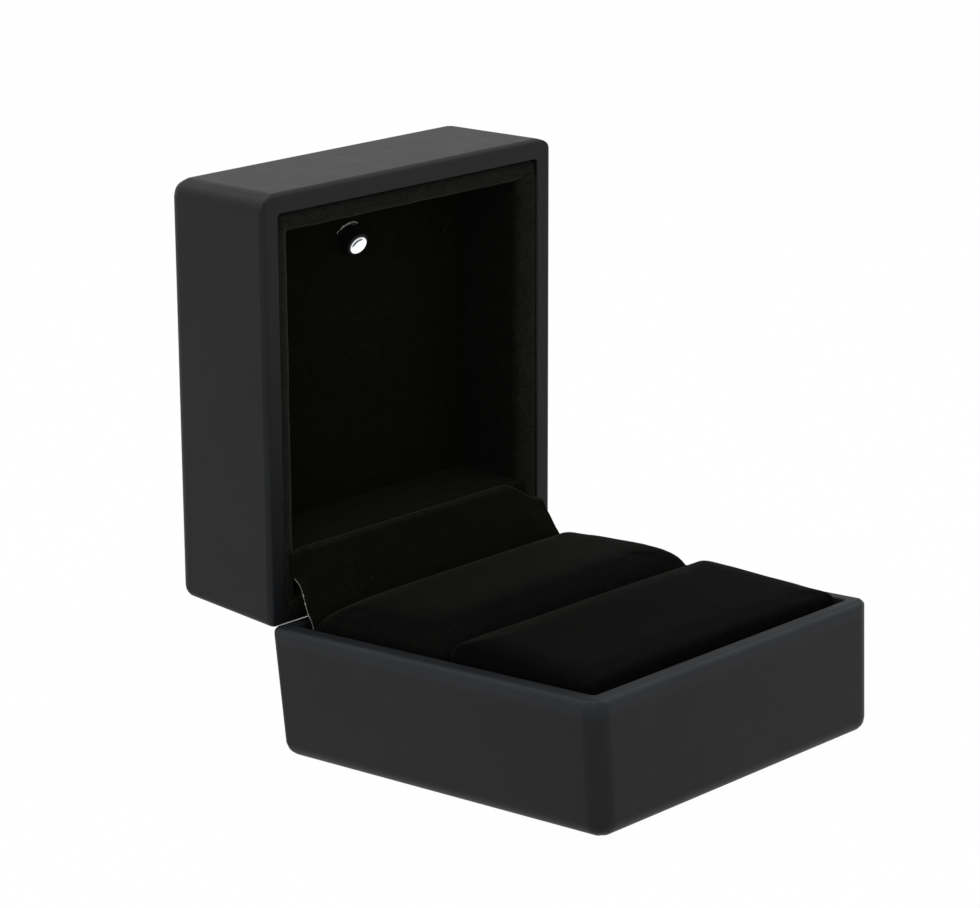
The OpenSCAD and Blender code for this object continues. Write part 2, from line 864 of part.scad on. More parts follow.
// Two leads that leave the lamp's back and bend up through the board
module lamp_leads() {
    color("#c9ccd0")
        open_lid()
            for (side = [-1, 1]) {
                x = side * lead_pitch / 2;
                bend = lamp_point(x, lead_bend);
                wire([
                    lamp_point(x, lamp_back + seat),
                    bend,
                    [bend[0], bend[1], board_z + board_t]
                ], lead_d);
            }
}

module circuit_board() {
    color("#2f6b3f")
        open_lid()
            difference() {
                slab(board_w, board_front_y, board_back_y, board_z, board_z + board_t);
                for (side = [-1, 1]) {
                    translate([side * board_screw_x, board_screw_y, board_z - 1])
                        cylinder(d = screw_d + 2 * screw_play, h = board_t + 2);
                    bend = lamp_point(side * lead_pitch / 2, lead_bend);
                    translate([bend[0], bend[1], board_z - 1])
                        cylinder(d = lead_d + 2 * lead_play, h = board_t + 2);
                    translate([side * post_x, post_front_y, board_z - 1])
                        cylinder(d = post_d + 2 * post_play, h = board_t + 2);
                }
            }
}

module board_screws() {
    color("#a7a9ac")
        open_lid()
            for (side = [-1, 1])
                translate([side * board_screw_x, board_screw_y, board_z]) {
                    translate([0, 0, -screw_head_t])
                        cylinder(d = screw_head_d, h = screw_head_t);
                    cylinder(d = screw_d, h = board_screw_l);
                }
}

module button_cells() {
    color("#c4c6c8")
        open_lid()
            for (side = [-1, 1])
                translate([side * cell_pitch / 2, cell_y, cell_z]) {
                    cylinder(d = cell_d, h = cell_can_h);
                    cylinder(d = cell_d - 2 * cell_lip, h = cell_t);
                }
}

// Straps that hold each cell to the board, with a foot at both ends
module cell_straps() {
    foot_z = cell_z - strap_t - seat;
    color("#b6a46a")
        open_lid()
            for (side = [-1, 1])
                translate([side * cell_pitch / 2 - strap_w / 2, cell_y, 0]) {
                    translate([0, -strap_reach - strap_t, foot_z])
                        cube([strap_w, 2 * (strap_reach + strap_t), strap_t]);
                    for (end = [-1, 1]) {
                        translate([0, end > 0 ? strap_reach : -strap_reach - strap_t, foot_z])
                            cube([strap_w, strap_t, board_z - foot_z]);
                        translate([0, end > 0 ? strap_reach : -strap_reach - strap_foot, board_z - strap_t])
                            cube([strap_w, strap_foot, strap_t]);
                    }
                }
}

module strap_rivets() {
    color("#c9ccd0")
        open_lid()
            for (side = [-1, 1], end = [-1, 1])
                translate([
                    side * cell_pitch / 2,
                    cell_y + end * (strap_reach + strap_foot / 2 + strap_t),
                    board_z - strap_t - rivet_h
                ])
                    cylinder(d = rivet_d, h = rivet_h);
}

module resistor() {
    color("#1b1b1d")
        open_lid()
            slab(resistor_w, resistor_y, resistor_y + resistor_l, board_z - resistor_t, board_z);
}

// Saddle on the lid's back wall that the reed switch lies in
module reed_holder() {
    color("#3a3b3d")
        open_lid()
            difference() {
                translate([reed_x - reed_holder_w / 2, reed_y, reed_z - reed_holder_h / 2])
                    cube([reed_holder_w, lid_in_y - reed_y, reed_holder_h]);
                translate([reed_x - reed_holder_w, reed_y, reed_z])
                    rotate([0, 90, 0])
                        cylinder(d = reed_d + 2 * seat, h = 2 * reed_holder_w);
            }
}

module reed_switch() {
    color("#9fb7a8")
        open_lid()
            translate([reed_x - reed_l / 2, reed_y, reed_z])
                rotate([0, 90, 0])
                    cylinder(d = reed_d, h = reed_l);
}

// A wire from each end of the reed switch up to the board's edge
module reed_wires() {
    color("#8c2f2a")
        open_lid()
            for (side = [-1, 1]) {
                x = reed_x + side * (reed_l / 2 + reed_lead_l);
                z = reed_top_z - (side > 0 ? 0 : reed_wire_step);
                board_x = board_w / 2 - reed_wire_inset + side * reed_wire_step;
                wire([
                    [x - side * (reed_lead_l - seat), reed_y, reed_z],
                    [x, reed_y, reed_z],
                    [x, reed_y, z],
                    [board_x, reed_y, z],
                    [board_x, board_back_y - reed_wire_back, z],
                    [board_x, board_back_y - reed_wire_back, board_z]
                ], reed_wire_d);
            }
}

base_shell();
floor_card();
card_surround();
rear_pad_core();
front_pad_core();
rear_ring_pad();
front_ring_pad();
hinge_base_leaf();
hinge_base_screws();
hinge_pin();
hinge_ribbon();
switch_magnet();
lid_shell();
lining_card();
lining_velvet();
back_panel_card();
back_panel_velvet();
lamp();
lamp_sleeve();
lamp_leads();
circuit_board();
board_screws();
button_cells();
cell_straps();
strap_rivets();
resistor();
reed_switch();
reed_holder();
reed_wires();
hinge_lid_leaf();
hinge_lid_screws();
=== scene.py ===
import json
import math

import bpy
from mathutils import Matrix, Vector, noise


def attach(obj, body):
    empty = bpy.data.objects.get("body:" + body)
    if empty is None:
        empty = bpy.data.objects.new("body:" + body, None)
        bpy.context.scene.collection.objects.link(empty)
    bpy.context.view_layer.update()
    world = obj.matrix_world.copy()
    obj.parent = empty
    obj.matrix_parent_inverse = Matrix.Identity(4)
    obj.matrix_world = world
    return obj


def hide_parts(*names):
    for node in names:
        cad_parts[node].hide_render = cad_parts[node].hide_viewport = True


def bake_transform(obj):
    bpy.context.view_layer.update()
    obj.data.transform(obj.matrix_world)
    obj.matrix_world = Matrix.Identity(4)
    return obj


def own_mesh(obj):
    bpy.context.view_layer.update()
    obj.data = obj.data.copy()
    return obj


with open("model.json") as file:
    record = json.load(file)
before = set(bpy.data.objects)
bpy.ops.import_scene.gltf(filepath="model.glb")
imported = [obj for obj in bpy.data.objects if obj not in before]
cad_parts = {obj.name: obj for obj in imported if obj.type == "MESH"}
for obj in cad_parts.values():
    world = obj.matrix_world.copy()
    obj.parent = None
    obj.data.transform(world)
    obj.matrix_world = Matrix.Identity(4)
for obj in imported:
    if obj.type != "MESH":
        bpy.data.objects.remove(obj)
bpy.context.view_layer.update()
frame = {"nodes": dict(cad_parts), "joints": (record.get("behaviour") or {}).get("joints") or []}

# Lengths are in millimetres, as on a ruler, and mm turns them to metres
mm = 0.001

cameraView = {
    "place": (-343.444, -329.820, 159.217),
    "yaw": 44.912,     # degrees from straight back, towards the right
    "pitch": 13.534,   # degrees below level
    "roll": -3.461,
    "lens": 124.09,
    "sensor": 36.0,
}


def makeCamera(view):
    yaw, pitch, roll = (math.radians(view[key]) for key in ("yaw", "pitch", "roll"))
    forward = Vector((math.sin(yaw) * math.cos(pitch), math.cos(yaw) * math.cos(pitch), -math.sin(pitch)))
    level = forward.cross(Vector((0, 0, 1))).normalized()
    upright = level.cross(forward)
    right = math.cos(roll) * level + math.sin(roll) * upright
    up = math.cos(roll) * upright - math.sin(roll) * level
    bpy.ops.object.camera_add()
    camera = bpy.context.object
    turned = Matrix((right, up, -forward)).transposed().to_4x4()
    camera.matrix_world = Matrix.Translation(Vector(view["place"]) * mm) @ turned
    camera.data.sensor_width = view["sensor"]
    camera.data.lens = view["lens"]
    camera.data.clip_start = 0.01
    bpy.context.scene.camera = camera


makeCamera(cameraView)
print("camera set")


# Modelling tools

def pickOnly(*objs):
    bpy.ops.object.select_all(action="DESELECT")
    for obj in objs:
        obj.select_set(True)
    bpy.context.view_layer.objects.active = objs[0]


def applyPlace(obj):
    pickOnly(obj)
    bpy.ops.object.transform_apply(location=True, rotation=True, scale=True)
    return obj


def addBox(name, low, high):
    low, high = Vector(low) * mm, Vector(high) * mm
    bpy.ops.mesh.primitive_cube_add(size=1, location=(low + high) / 2)
    box = bpy.context.object
    box.name = name
    box.scale = high - low
    return applyPlace(box)


def addRod(name, radius, start, end, sides=48):
    start, end = Vector(start) * mm, Vector(end) * mm
    along = end - start
    bpy.ops.mesh.primitive_cylinder_add(vertices=sides, radius=radius * mm, depth=along.length)
    rod = bpy.context.object
    rod.name = name
    turned = along.to_track_quat("Z", "Y").to_matrix().to_4x4()
    rod.matrix_world = Matrix.Translation((start + end) / 2) @ turned
    return applyPlace(rod)


def clearPick(obj, kind):
    pickOnly(obj)
    bpy.ops.object.mode_set(mode="EDIT")
    bpy.ops.mesh.select_mode(type=kind)
    bpy.ops.mesh.select_all(action="DESELECT")
    bpy.ops.object.mode_set(mode="OBJECT")


def pickFaces(obj, test):
    clearPick(obj, "FACE")
    for face in obj.data.polygons:
        face.select = test(face.center / mm, face.normal)
    bpy.ops.object.mode_set(mode="EDIT")


def pickEdges(obj, test):
    clearPick(obj, "EDGE")
    points = [point.co / mm for point in obj.data.vertices]
    for edge in obj.data.edges:
        edge.select = test(points[edge.vertices[0]], points[edge.vertices[1]])
    bpy.ops.object.mode_set(mode="EDIT")


def ease(value, low, high):
    share = min(1, max(0, (value - low) / (high - low)))
    return share * share * (3 - 2 * share)


# A smooth line through the points, for a share from 0 to 1
def throughPoints(points, share):
    last = len(points) - 1
    step = min(int(share * last), last - 1)
    t = share * last - step
    a, b, c, d = (Vector(points[min(max(step + k, 0), last)]) for k in (-1, 0, 1, 2))
    square = (2 * a - 5 * b + 4 * c - d) * t * t
    cube = (3 * b - a - 3 * c + d) * t ** 3
    return 0.5 * (2 * b + (c - a) * t + square + cube)


def doneEditing():
    bpy.ops.object.mode_set(mode="OBJECT")


def useModifier(obj, kind, **settings):
    pickOnly(obj)
    modifier = obj.modifiers.new(kind.title(), kind)
    for key, value in settings.items():
        setattr(modifier, key, value)
    bpy.ops.object.modifier_apply(modifier=modifier.name)


def cutAway(obj, *cutters):
    for cutter in cutters:
        useModifier(obj, "BOOLEAN", operation="DIFFERENCE", solver="EXACT", object=cutter)
        bpy.data.objects.remove(cutter, do_unlink=True)


def smoothAll(obj):
    pickOnly(obj)
    bpy.ops.object.shade_smooth()


def smoothByAngle(obj, degrees=35):
    pickOnly(obj)
    bpy.ops.object.shade_smooth_by_angle(angle=math.radians(degrees))
    useModifier(obj, "WEIGHTED_NORMAL", keep_sharp=True)


# A grid whose point at u, v, each from 0 to 1, goes to place(u, v)
def addGrid(name, columns, rows, place):
    bpy.ops.mesh.primitive_grid_add(x_subdivisions=columns, y_subdivisions=rows, size=1)
    grid = bpy.context.object
    grid.name = name
    for point in grid.data.vertices:
        point.co = Vector(place(point.co.x + 0.5, point.co.y + 0.5)) * mm
    return grid


# Smooth noise; a ripple's settings are its height, the size of its lumps and its seed
def rippled(ripple, point):
    height, size, seed = ripple
    return height * noise.noise(Vector(point) / size + Vector((seed, 2 * seed, 3 * seed)))


hinge = {
    "pinY": 32.15,
    "pinZ": 20.0,
    "openAngle": frame["joints"][0]["range_deg"][1],
}


def openMatrix():
    pin = Vector((0, hinge["pinY"], hinge["pinZ"])) * mm
    swing = Matrix.Rotation(math.radians(-hinge["openAngle"]), 4, "X")
    return Matrix.Translation(pin) @ swing @ Matrix.Translation(-pin)


def openWithLid(obj):
    obj.matrix_world = openMatrix() @ obj.matrix_world
    return applyPlace(obj)


def dress(obj, body, material, slotName, *nodes):
    obj.data.materials.clear()
    obj.data.materials.append(material)
    if body:
        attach(obj, body)
    if nodes:
        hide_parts(*nodes)
    return obj


# Shader tools

def newGroup(name, inputs, outputs):
    group = bpy.data.node_groups.new(name, "ShaderNodeTree")
    for way, sockets in (("INPUT", inputs), ("OUTPUT", outputs)):
        for label, kind in sockets.items():
            group.interface.new_socket(name=label, in_out=way, socket_type="NodeSocket" + kind)
    groupIn = group.nodes.new("NodeGroupInput")
    groupOut = group.nodes.new("NodeGroupOutput")
    return group, groupIn.outputs, groupOut.inputs


def addNode(tree, kind, inputs=None, **settings):
    node = tree.nodes.new("ShaderNode" + kind)
    for key, value in settings.items():
        setattr(node, key, value)
    for key, value in (inputs or {}).items():
        socket = node.inputs[key]
        if isinstance(value, bpy.types.NodeSocket):
            tree.links.new(value, socket)
        else:
            socket.default_value = value
    return node


def mathNode(tree, operation, first, second=0.0, clamp=False):
    node = addNode(tree, "Math", {0: first, 1: second}, operation=operation, use_clamp=clamp)
    return node.outputs[0]


def vectorNode(tree, operation, first, second):
    return addNode(tree, "VectorMath", {0: first, 1: tuple(second)}, operation=operation)


def blendColours(tree, factor, first, second):
    node = addNode(tree, "Mix", {0: factor, 6: first, 7: second}, data_type="RGBA")
    return node.outputs[2]


def spread(tree, value, low, high, toLow=0.0, toHigh=1.0):
    node = addNode(tree, "MapRange", {0: value, 1: low, 2: high, 3: toLow, 4: toHigh})
    return node.outputs[0]


# Noise with lumps of about that size, drawn out along the axes as stretch says
def noiseAt(tree, size, detail=3.0, roughness=0.55, stretch=(1, 1, 1)):
    place = addNode(tree, "TexCoord").outputs["Object"]
    scaled = addNode(tree, "Mapping", {"Vector": place, "Scale": stretch}).outputs[0]
    lumps = {"Vector": scaled, "Scale": 1 / (size * mm), "Detail": detail, "Roughness": roughness}
    return addNode(tree, "TexNoise", lumps).outputs["Fac"]


finishOutputs = {"Colour": "Color", "Roughness": "Float", "Height": "Float"}


# Soft-touch lacquer: faint haze, a fine grain and rubbed spots that are a little smoother
def makePaintGroup():
    group, given, out = newGroup(
        "SoftTouchPaint", {"Paint": "Color", "Haze": "Color", "Roughness": "Float"}, finishOutputs)
    haze = spread(group, noiseAt(group, 16, 4), 0.35, 0.75)
    grain = noiseAt(group, 0.09, 2, 0.7)
    ripple = noiseAt(group, 0.8, 2)
    rubbed = spread(group, noiseAt(group, 5, 5, 0.65), 0.52, 0.72)
    tint = mathNode(group, "MULTIPLY", haze, mathNode(group, "ADD", 0.6, grain), True)
    group.links.new(blendColours(group, tint, given["Paint"], given["Haze"]), out["Colour"])
    rough = mathNode(group, "ADD", given["Roughness"], mathNode(group, "MULTIPLY", grain, 0.12))
    rough = mathNode(group, "SUBTRACT", rough, mathNode(group, "MULTIPLY", rubbed, 0.05))
    group.links.new(rough, out["Roughness"])
    height = mathNode(group, "ADD", grain, mathNode(group, "MULTIPLY", ripple, 0.6))
    group.links.new(height, out["Height"])
    return group


# Velvet pile: patches that lean towards or away, over single fibre ends
def makePileGroup():
    group, given, out = newGroup(
        "VelvetPile", {"Deep": "Color", "Tips": "Color", "Crushed": "Float"}, finishOutputs)
    fibre = noiseAt(group, 0.1, 2, 0.8)
    tuft = noiseAt(group, 0.5, 4, 0.75)
    lean = noiseAt(group, 3.0, 4, 0.65)
    lean = spread(group, lean, 0.36, 0.66)
    tips = spread(group, mathNode(group, "MULTIPLY", fibre, tuft), 0.12, 0.4)
    patches = mathNode(group, "MULTIPLY", lean, given["Crushed"])
    amount = mathNode(group, "MULTIPLY", tips, mathNode(group, "ADD", 0.5, patches), True)
    group.links.new(blendColours(group, amount, given["Deep"], given["Tips"]), out["Colour"])
    group.links.new(spread(group, fibre, 0.2, 0.8, 0.85, 1.0), out["Roughness"])
    group.links.new(mathNode(group, "ADD", mathNode(group, "MULTIPLY", tuft, 1.4), fibre), out["Height"])
    return group


# A mask of sparse lint specks, each cell with a speck of its own size
def makeDustGroup():
    group, given, out = newGroup("LintSpecks", {"Spacing": "Float", "Share": "Float"}, {"Mask": "Float"})
    place = addNode(group, "TexCoord").outputs["Object"]
    scale = mathNode(group, "DIVIDE", 1.0, given["Spacing"])
    cells = addNode(group, "TexVoronoi", {"Vector": place, "Scale": scale})
    pick = addNode(group, "SeparateColor", {0: cells.outputs["Color"]})
    present = mathNode(group, "LESS_THAN", pick.outputs[0], given["Share"])
    size = mathNode(group, "MULTIPLY", pick.outputs[1], 0.05)
    near = mathNode(group, "LESS_THAN", cells.outputs["Distance"], size)
    group.links.new(mathNode(group, "MULTIPLY", present, near), out["Mask"])
    return group


# Stamped or turned metal: fine streaks and dull patches
def makeMetalGroup():
    group, given, out = newGroup(
        "WorkedMetal", {"Bright": "Color", "Dull": "Color", "Roughness": "Float"}, finishOutputs)
    streaks = noiseAt(group, 0.12, 3, 0.6, (0.08, 1, 1))
    patches = spread(group, noiseAt(group, 1.1, 4, 0.6), 0.4, 0.7)
    group.links.new(blendColours(group, patches, given["Bright"], given["Dull"]), out["Colour"])
    worn = mathNode(group, "ADD", mathNode(group, "MULTIPLY", streaks, 0.15),
                    mathNode(group, "MULTIPLY", patches, 0.12))
    group.links.new(mathNode(group, "ADD", given["Roughness"], worn), out["Roughness"])
    group.links.new(streaks, out["Height"])
    return group


# Pressed board, foam or plastic: soft clouds with short fibres in them
def makeFibreGroup():
    group, given, out = newGroup(
        "PressedFibre", {"Pulp": "Color", "Fleck": "Color", "Roughness": "Float"}, finishOutputs)
    clouds = spread(group, noiseAt(group, 1.6, 4), 0.35, 0.7)
    fibres = spread(group, noiseAt(group, 0.16, 3, 0.7, (1, 0.25, 1)), 0.5, 0.7)
    amount = mathNode(group, "MULTIPLY", fibres, mathNode(group, "ADD", 0.3, clouds), True)
    group.links.new(blendColours(group, amount, given["Pulp"], given["Fleck"]), out["Colour"])
    group.links.new(mathNode(group, "ADD", given["Roughness"],
                             mathNode(group, "MULTIPLY", fibres, 0.1)), out["Roughness"])
    group.links.new(mathNode(group, "ADD", fibres, clouds), out["Height"])
    return group


groups = {
    "paint": makePaintGroup(),
    "pile": makePileGroup(),
    "dust": makeDustGroup(),
    "metal": makeMetalGroup(),
    "fibre": makeFibreGroup(),
}


def grey(value, tint=(1, 1, 1)):
    return (value * tint[0], value * tint[1], value * tint[2], 1)


# A material from one group. Sockets are the shader's own values, lint is a colour, spacing and share,
# and shade gives a factor for the colour from place to place, by which light and shade are painted into it
def newMaterial(name, groupName, values, bump, depth, sockets=None, lint=None, shade=None):
    material = bpy.data.materials.new(name)
    material.use_nodes = True
    tree = material.node_tree
    tree.nodes.clear()
    output = addNode(tree, "OutputMaterial")
    shader = addNode(tree, "BsdfPrincipled", sockets)
    tree.links.new(shader.outputs[0], output.inputs[0])
    finish = tree.nodes.new("ShaderNodeGroup")
    finish.node_tree = groups[groupName]
    for key, value in values.items():
        finish.inputs[key].default_value = value
    colour = finish.outputs["Colour"]
    if lint:
        dust = tree.nodes.new("ShaderNodeGroup")
        dust.node_tree = groups["dust"]
        dust.inputs["Spacing"].default_value = lint[1] * mm
        dust.inputs["Share"].default_value = lint[2]
        colour = blendColours(tree, dust.outputs["Mask"], colour, lint[0])
    if shade:
        scaled = addNode(tree, "VectorMath", {0: colour, "Scale": shade(tree)}, operation="SCALE")
        colour = scaled.outputs[0]
    tree.links.new(colour, shader.inputs["Base Color"])
    tree.links.new(finish.outputs["Roughness"], shader.inputs["Roughness"])
    surface = {"Height": finish.outputs["Height"], "Strength": bump, "Distance": depth * mm}
    tree.links.new(addNode(tree, "Bump", surface).outputs[0], shader.inputs["Normal"])
    return material


def shaderOf(material):
    return next(node for node in material.node_tree.nodes if node.type == "BSDF_PRINCIPLED")


# A factor that goes from one value to another between two heights, which are those of the shut box
# for a piece in the lid
def shadeByHeight(low, high, atLow, atHigh, inShutLid=False):
    def shade(tree):
        place = addNode(tree, "TexCoord").outputs["Object"]
        up, lift = Vector((0, 0, 1)), 0.0
        if inShutLid:
            up = openMatrix().to_3x3() @ up
            lift = (openMatrix().inverted() @ Vector((0, 0, 0))).z
        height = vectorNode(tree, "DOT_PRODUCT", place, up).outputs["Value"]
        return spread(tree, mathNode(tree, "ADD", height, lift), low * mm, high * mm, atLow, atHigh)

    return shade


padTint = (1, 0.99, 0.9)


def velvet(name, deep, tips, crushed, sheen, tint, shade=None):
    return newMaterial(
        name, "pile", {"Deep": grey(deep, tint), "Tips": grey(tips, tint), "Crushed": crushed}, 0.5, 0.05,
        {"Specular IOR Level": 0.02, "Sheen Weight": sheen, "Sheen Roughness": 0.35,
         "Sheen Tint": grey(0.8, tint)},
        (grey(0.02), 3.2, 0.03), shade)


def paint(name, colour, haze, roughness, specular, shade=None):
    return newMaterial(
        name, "paint", {"Paint": colour, "Haze": haze, "Roughness": roughness}, 0.12, 0.02,
        {"Specular IOR Level": specular}, (grey(0.02), 5.0, 0.03), shade)


def metal(name, bright, dull, roughness):
    return newMaterial(
        name, "metal", {"Bright": bright, "Dull": dull, "Roughness": roughness}, 0.2, 0.01,
        {"Metallic": 1.0})


def board(name, pulp, fleck, roughness, depth=0.03):
    return newMaterial(
        name, "fibre", {"Pulp": pulp, "Fleck": fleck, "Roughness": roughness}, 0.4, depth,
        {"Specular IOR Level": 0.25})


shellPaint = grey(0.0055, (0.9, 0.99, 1.14))
shellHaze = grey(0.0075, (0.9, 0.99, 1.12))

# The velvets in this table are copies of one black velvet, each made lighter or darker for how light falls
# on its piece: lit and shaded copies
materials = {
    "lidShell": paint("SoftTouchBlack", shellPaint, shellHaze, 0.46, 0.18),
    # The base's paint colour is scaled up to 2.3 times towards the rim: a painted highlight along the rim
    "baseShell": paint("SoftTouchBlackBase", shellPaint, shellHaze, 0.46, 0.18,
                       shadeByHeight(16.8, 19.6, 1.0, 2.3)),
    # The rear pad's velvet is lightened up to 2.2 times low down, on its lower sides: painted light bounced
    # into the slot
    "rearPadVelvet": velvet("RearPadVelvet", deep=0.0005, tips=0.0042, crushed=0.25, sheen=0.04,
                            tint=padTint, shade=shadeByHeight(21.0, 23.6, 2.2, 1.0)),
    # The front pad's velvet is a darker copy of the rear pad's, a painted shade over the whole pad, and is
    # lightened low down by the same painted light
    "frontPadVelvet": velvet("FrontPadVelvet", deep=0.0004, tips=0.0029, crushed=0.25, sheen=0.03,
                             tint=padTint, shade=shadeByHeight(20.5, 23.2, 2.2, 1.0)),
    # The lining's velvet is a much lighter copy, a painted light for its lit lip, and painted shade halves
    # it deeper inside the lid
    "liningVelvet": velvet("LiningVelvet", deep=0.004, tips=0.026, crushed=0.25, sheen=0.08,
                           tint=(1, 1.02, 0.86), shade=shadeByHeight(22.0, 23.2, 1.0, 0.5, True)),
    # The ledge's velvet is a darker copy, with painted shade that darkens it further deeper inside the lid
    "ledgeVelvet": velvet("LedgeVelvet", deep=0.0011, tips=0.007, crushed=0.4, sheen=0.04,
                          tint=(1, 1.1, 0.86), shade=shadeByHeight(21.0, 33.0, 1.0, 0.75, True)),
    "panelVelvet": velvet("PanelVelvet", deep=0.002, tips=0.011, crushed=0.2, sheen=0.06,
                          tint=(1, 1.15, 0.72)),
    # The ribbon's velvet is 1.9 times lighter along its top, where it folds over the ledge: a painted
    # highlight along the fold
    "ribbonVelvet": velvet("RibbonVelvet", deep=0.0017, tips=0.0095, crushed=0.2, sheen=0.06,
                           tint=(1, 1.1, 0.8), shade=shadeByHeight(30.15, 30.45, 1.0, 1.9)),
    "backing": board("WovenBacking", grey(0.3, (1, 0.97, 0.9)), grey(0.015), 0.9),
    "threads": board("CottonThread", grey(0.45, (1, 0.93, 0.8)), grey(0.1, (1, 0.88, 0.66)), 0.9),
    "blackCard": board("BlackCard", grey(0.012), grey(0.03), 0.8),
    "greyCard": board("GreyCard", grey(0.16, (1, 0.95, 0.87)), grey(0.07), 0.88),
    "foam": board("FirmFoam", grey(0.016), grey(0.03), 0.95, 0.08),
    "leaf": metal("HingeSteel", grey(0.42, (1, 0.99, 0.96)), grey(0.26), 0.34),
    "screw": metal("ScrewSteel", grey(0.5), grey(0.33), 0.26),
    "tinned": metal("TinnedWire", grey(0.62), grey(0.42), 0.3),
    "cellSteel": metal("CellSteel", grey(0.6), grey(0.45), 0.22),
    "brass": metal("ContactBrass", (0.62, 0.49, 0.2, 1), (0.36, 0.26, 0.1, 1), 0.3),
    "magnet": metal("MagnetNickel", grey(0.55, (1, 0.98, 0.94)), grey(0.4), 0.18),
    "rubber": board("SleeveRubber", grey(0.003), grey(0.006), 0.6, 0.01),
    "resistor": board("ResistorBlack", grey(0.012), grey(0.03), 0.45, 0.01),
    "holder": board("HolderPlastic", grey(0.03), grey(0.045), 0.5, 0.01),
    "boardGreen": board("BoardGreen", (0.02, 0.1, 0.035, 1), (0.03, 0.14, 0.05, 1), 0.35, 0.01),
    "wireRed": board("WireRed", (0.28, 0.03, 0.02, 1), (0.2, 0.02, 0.015, 1), 0.42, 0.01),
    "reedGlass": board("ReedGlass", grey(0.3, (0.8, 1, 0.9)), grey(0.4, (0.85, 1, 0.92)), 0.1, 0.005),
}
print("materials made")


# Shells

shell = {
    "width": 60.0, "length": 65.0, "draft": 1.3,
    "frontCorner": 3.0, "backCorner": 1.2, "faceRound": 2.25, "rimRound": 0.9,
    "baseHeight": 20.0, "baseWall": 2.75, "floor": 2.2,
    "lidHeight": 21.0, "lidWall": 3.1, "roof": 2.4, "rimGap": 0.2,
    "innerCorner": 0.6, "innerRim": 0.25, "baseRimRound": 1.4, "hingeRimRound": 0.6,
    "dullFrom": 19.8, "dullTo": 19.97, "dullSpecular": 0.08,    # the flat of the base's rim is rubbed dull
}
lidRim = shell["baseHeight"] + shell["rimGap"]
lidTop = lidRim + shell["lidHeight"]
roofZ = lidTop - shell["roof"]
halfWidth = shell["width"] / 2
halfLength = shell["length"] / 2
lidInY = halfLength - shell["lidWall"]
baseInY = halfLength - shell["baseWall"]


# Gives each edge its share of the widest rounding, by its middle and direction
def weighEdges(obj, weigh):
    weights = obj.data.attributes.new("bevel_weight_edge", "FLOAT", "EDGE")
    points = [point.co / mm for point in obj.data.vertices]
    for edge in obj.data.edges:
        first, second = (points[index] for index in edge.vertices)
        weights.data[edge.index].value = weigh((first + second) / 2, abs(first.z - second.z) > 1)


# A shell that lies on its face, with its rim up
def makeShell(name, height, wall, faceThickness, rimRound):
    obj = addBox(name, (-halfWidth, -halfLength, 0), (halfWidth, halfLength, height))
    lean = height * math.tan(math.radians(shell["draft"]))
    pickFaces(obj, lambda centre, normal: normal.z < -0.9)
    bpy.ops.transform.resize(
        value=(1 - lean / halfWidth, 1 - lean / halfLength, 1), center_override=(0, 0, 0))
    doneEditing()

    def weigh(middle, upright):
        if upright:
            return (shell["frontCorner"] if middle.y < 0 else shell["backCorner"]) / widest
        if middle.z < height / 2:
            return shell["faceRound"] / widest
        return (shell["hingeRimRound"] if middle.y > halfLength - 1 else rimRound) / widest

    widest = shell["frontCorner"]
    weighEdges(obj, weigh)
    useModifier(obj, "BEVEL", limit_method="WEIGHT", width=widest * mm, segments=8)
    inX, inY = halfWidth - wall, halfLength - wall
    hollow = addBox("hollow", (-inX, -inY, faceThickness), (inX, inY, height + 5))
    pickEdges(hollow, lambda a, b: min(a.z, b.z) < height)
    bpy.ops.mesh.bevel(offset=shell["innerCorner"] * mm, segments=4, affect="EDGES")
    doneEditing()
    cutAway(obj, hollow)
    pickEdges(obj, lambda a, b: all(
        p.z > height - 0.001 and abs(p.x) < inX + 0.01 and abs(p.y) < inY + 0.01 for p in (a, b)))
    bpy.ops.mesh.bevel(offset=shell["innerRim"] * mm, segments=3, affect="EDGES")
    doneEditing()
    return obj


hingeCut = {
    "grooveRadius": 0.95, "slotWidth": 36.3,
    "baseLow": 19.3, "baseFront": 28.75, "lidHigh": 20.9, "lidFront": 28.4,
    "screws": (-14.0, 0.0, 14.0), "screwRadius": 0.72, "screwDepth": 2.1,
    "baseScrewZ": 15.15, "lidScrewZ": 24.85,
}


def hingeCutters(front, low, high, wallY, screwZ):
    half = hingeCut["slotWidth"] / 2
    pinY, pinZ = hinge["pinY"], hinge["pinZ"]
    cutters = [
        addRod("groove", hingeCut["grooveRadius"], (-half, pinY, pinZ), (half, pinY, pinZ)),
        addBox("recess", (-half, front, low), (half, pinY, high)),
    ]
    for x in hingeCut["screws"]:
        start, end = (x, wallY - 0.5, screwZ), (x, wallY + hingeCut["screwDepth"], screwZ)
        cutters.append(addRod("hole", hingeCut["screwRadius"], start, end, 24))
    return cutters


def makeBaseShell():
    obj = makeShell("BaseShell", shell["baseHeight"], shell["baseWall"], shell["floor"],
                    shell["baseRimRound"])
    cutAway(obj, *hingeCutters(hingeCut["baseFront"], hingeCut["baseLow"], lidRim + 1,
                               baseInY, hingeCut["baseScrewZ"]))
    smoothByAngle(obj)
    return dress(obj, "base", materials["baseShell"], "soft_touch_shell", "base_shell")


posts = {"radius": 1.5, "x": 23.1, "front": -24.6, "back": 20.9, "low": 35.7}
boardScrew = {"x": 15.8, "y": 12.0, "radius": 0.72, "depth": 1.5}


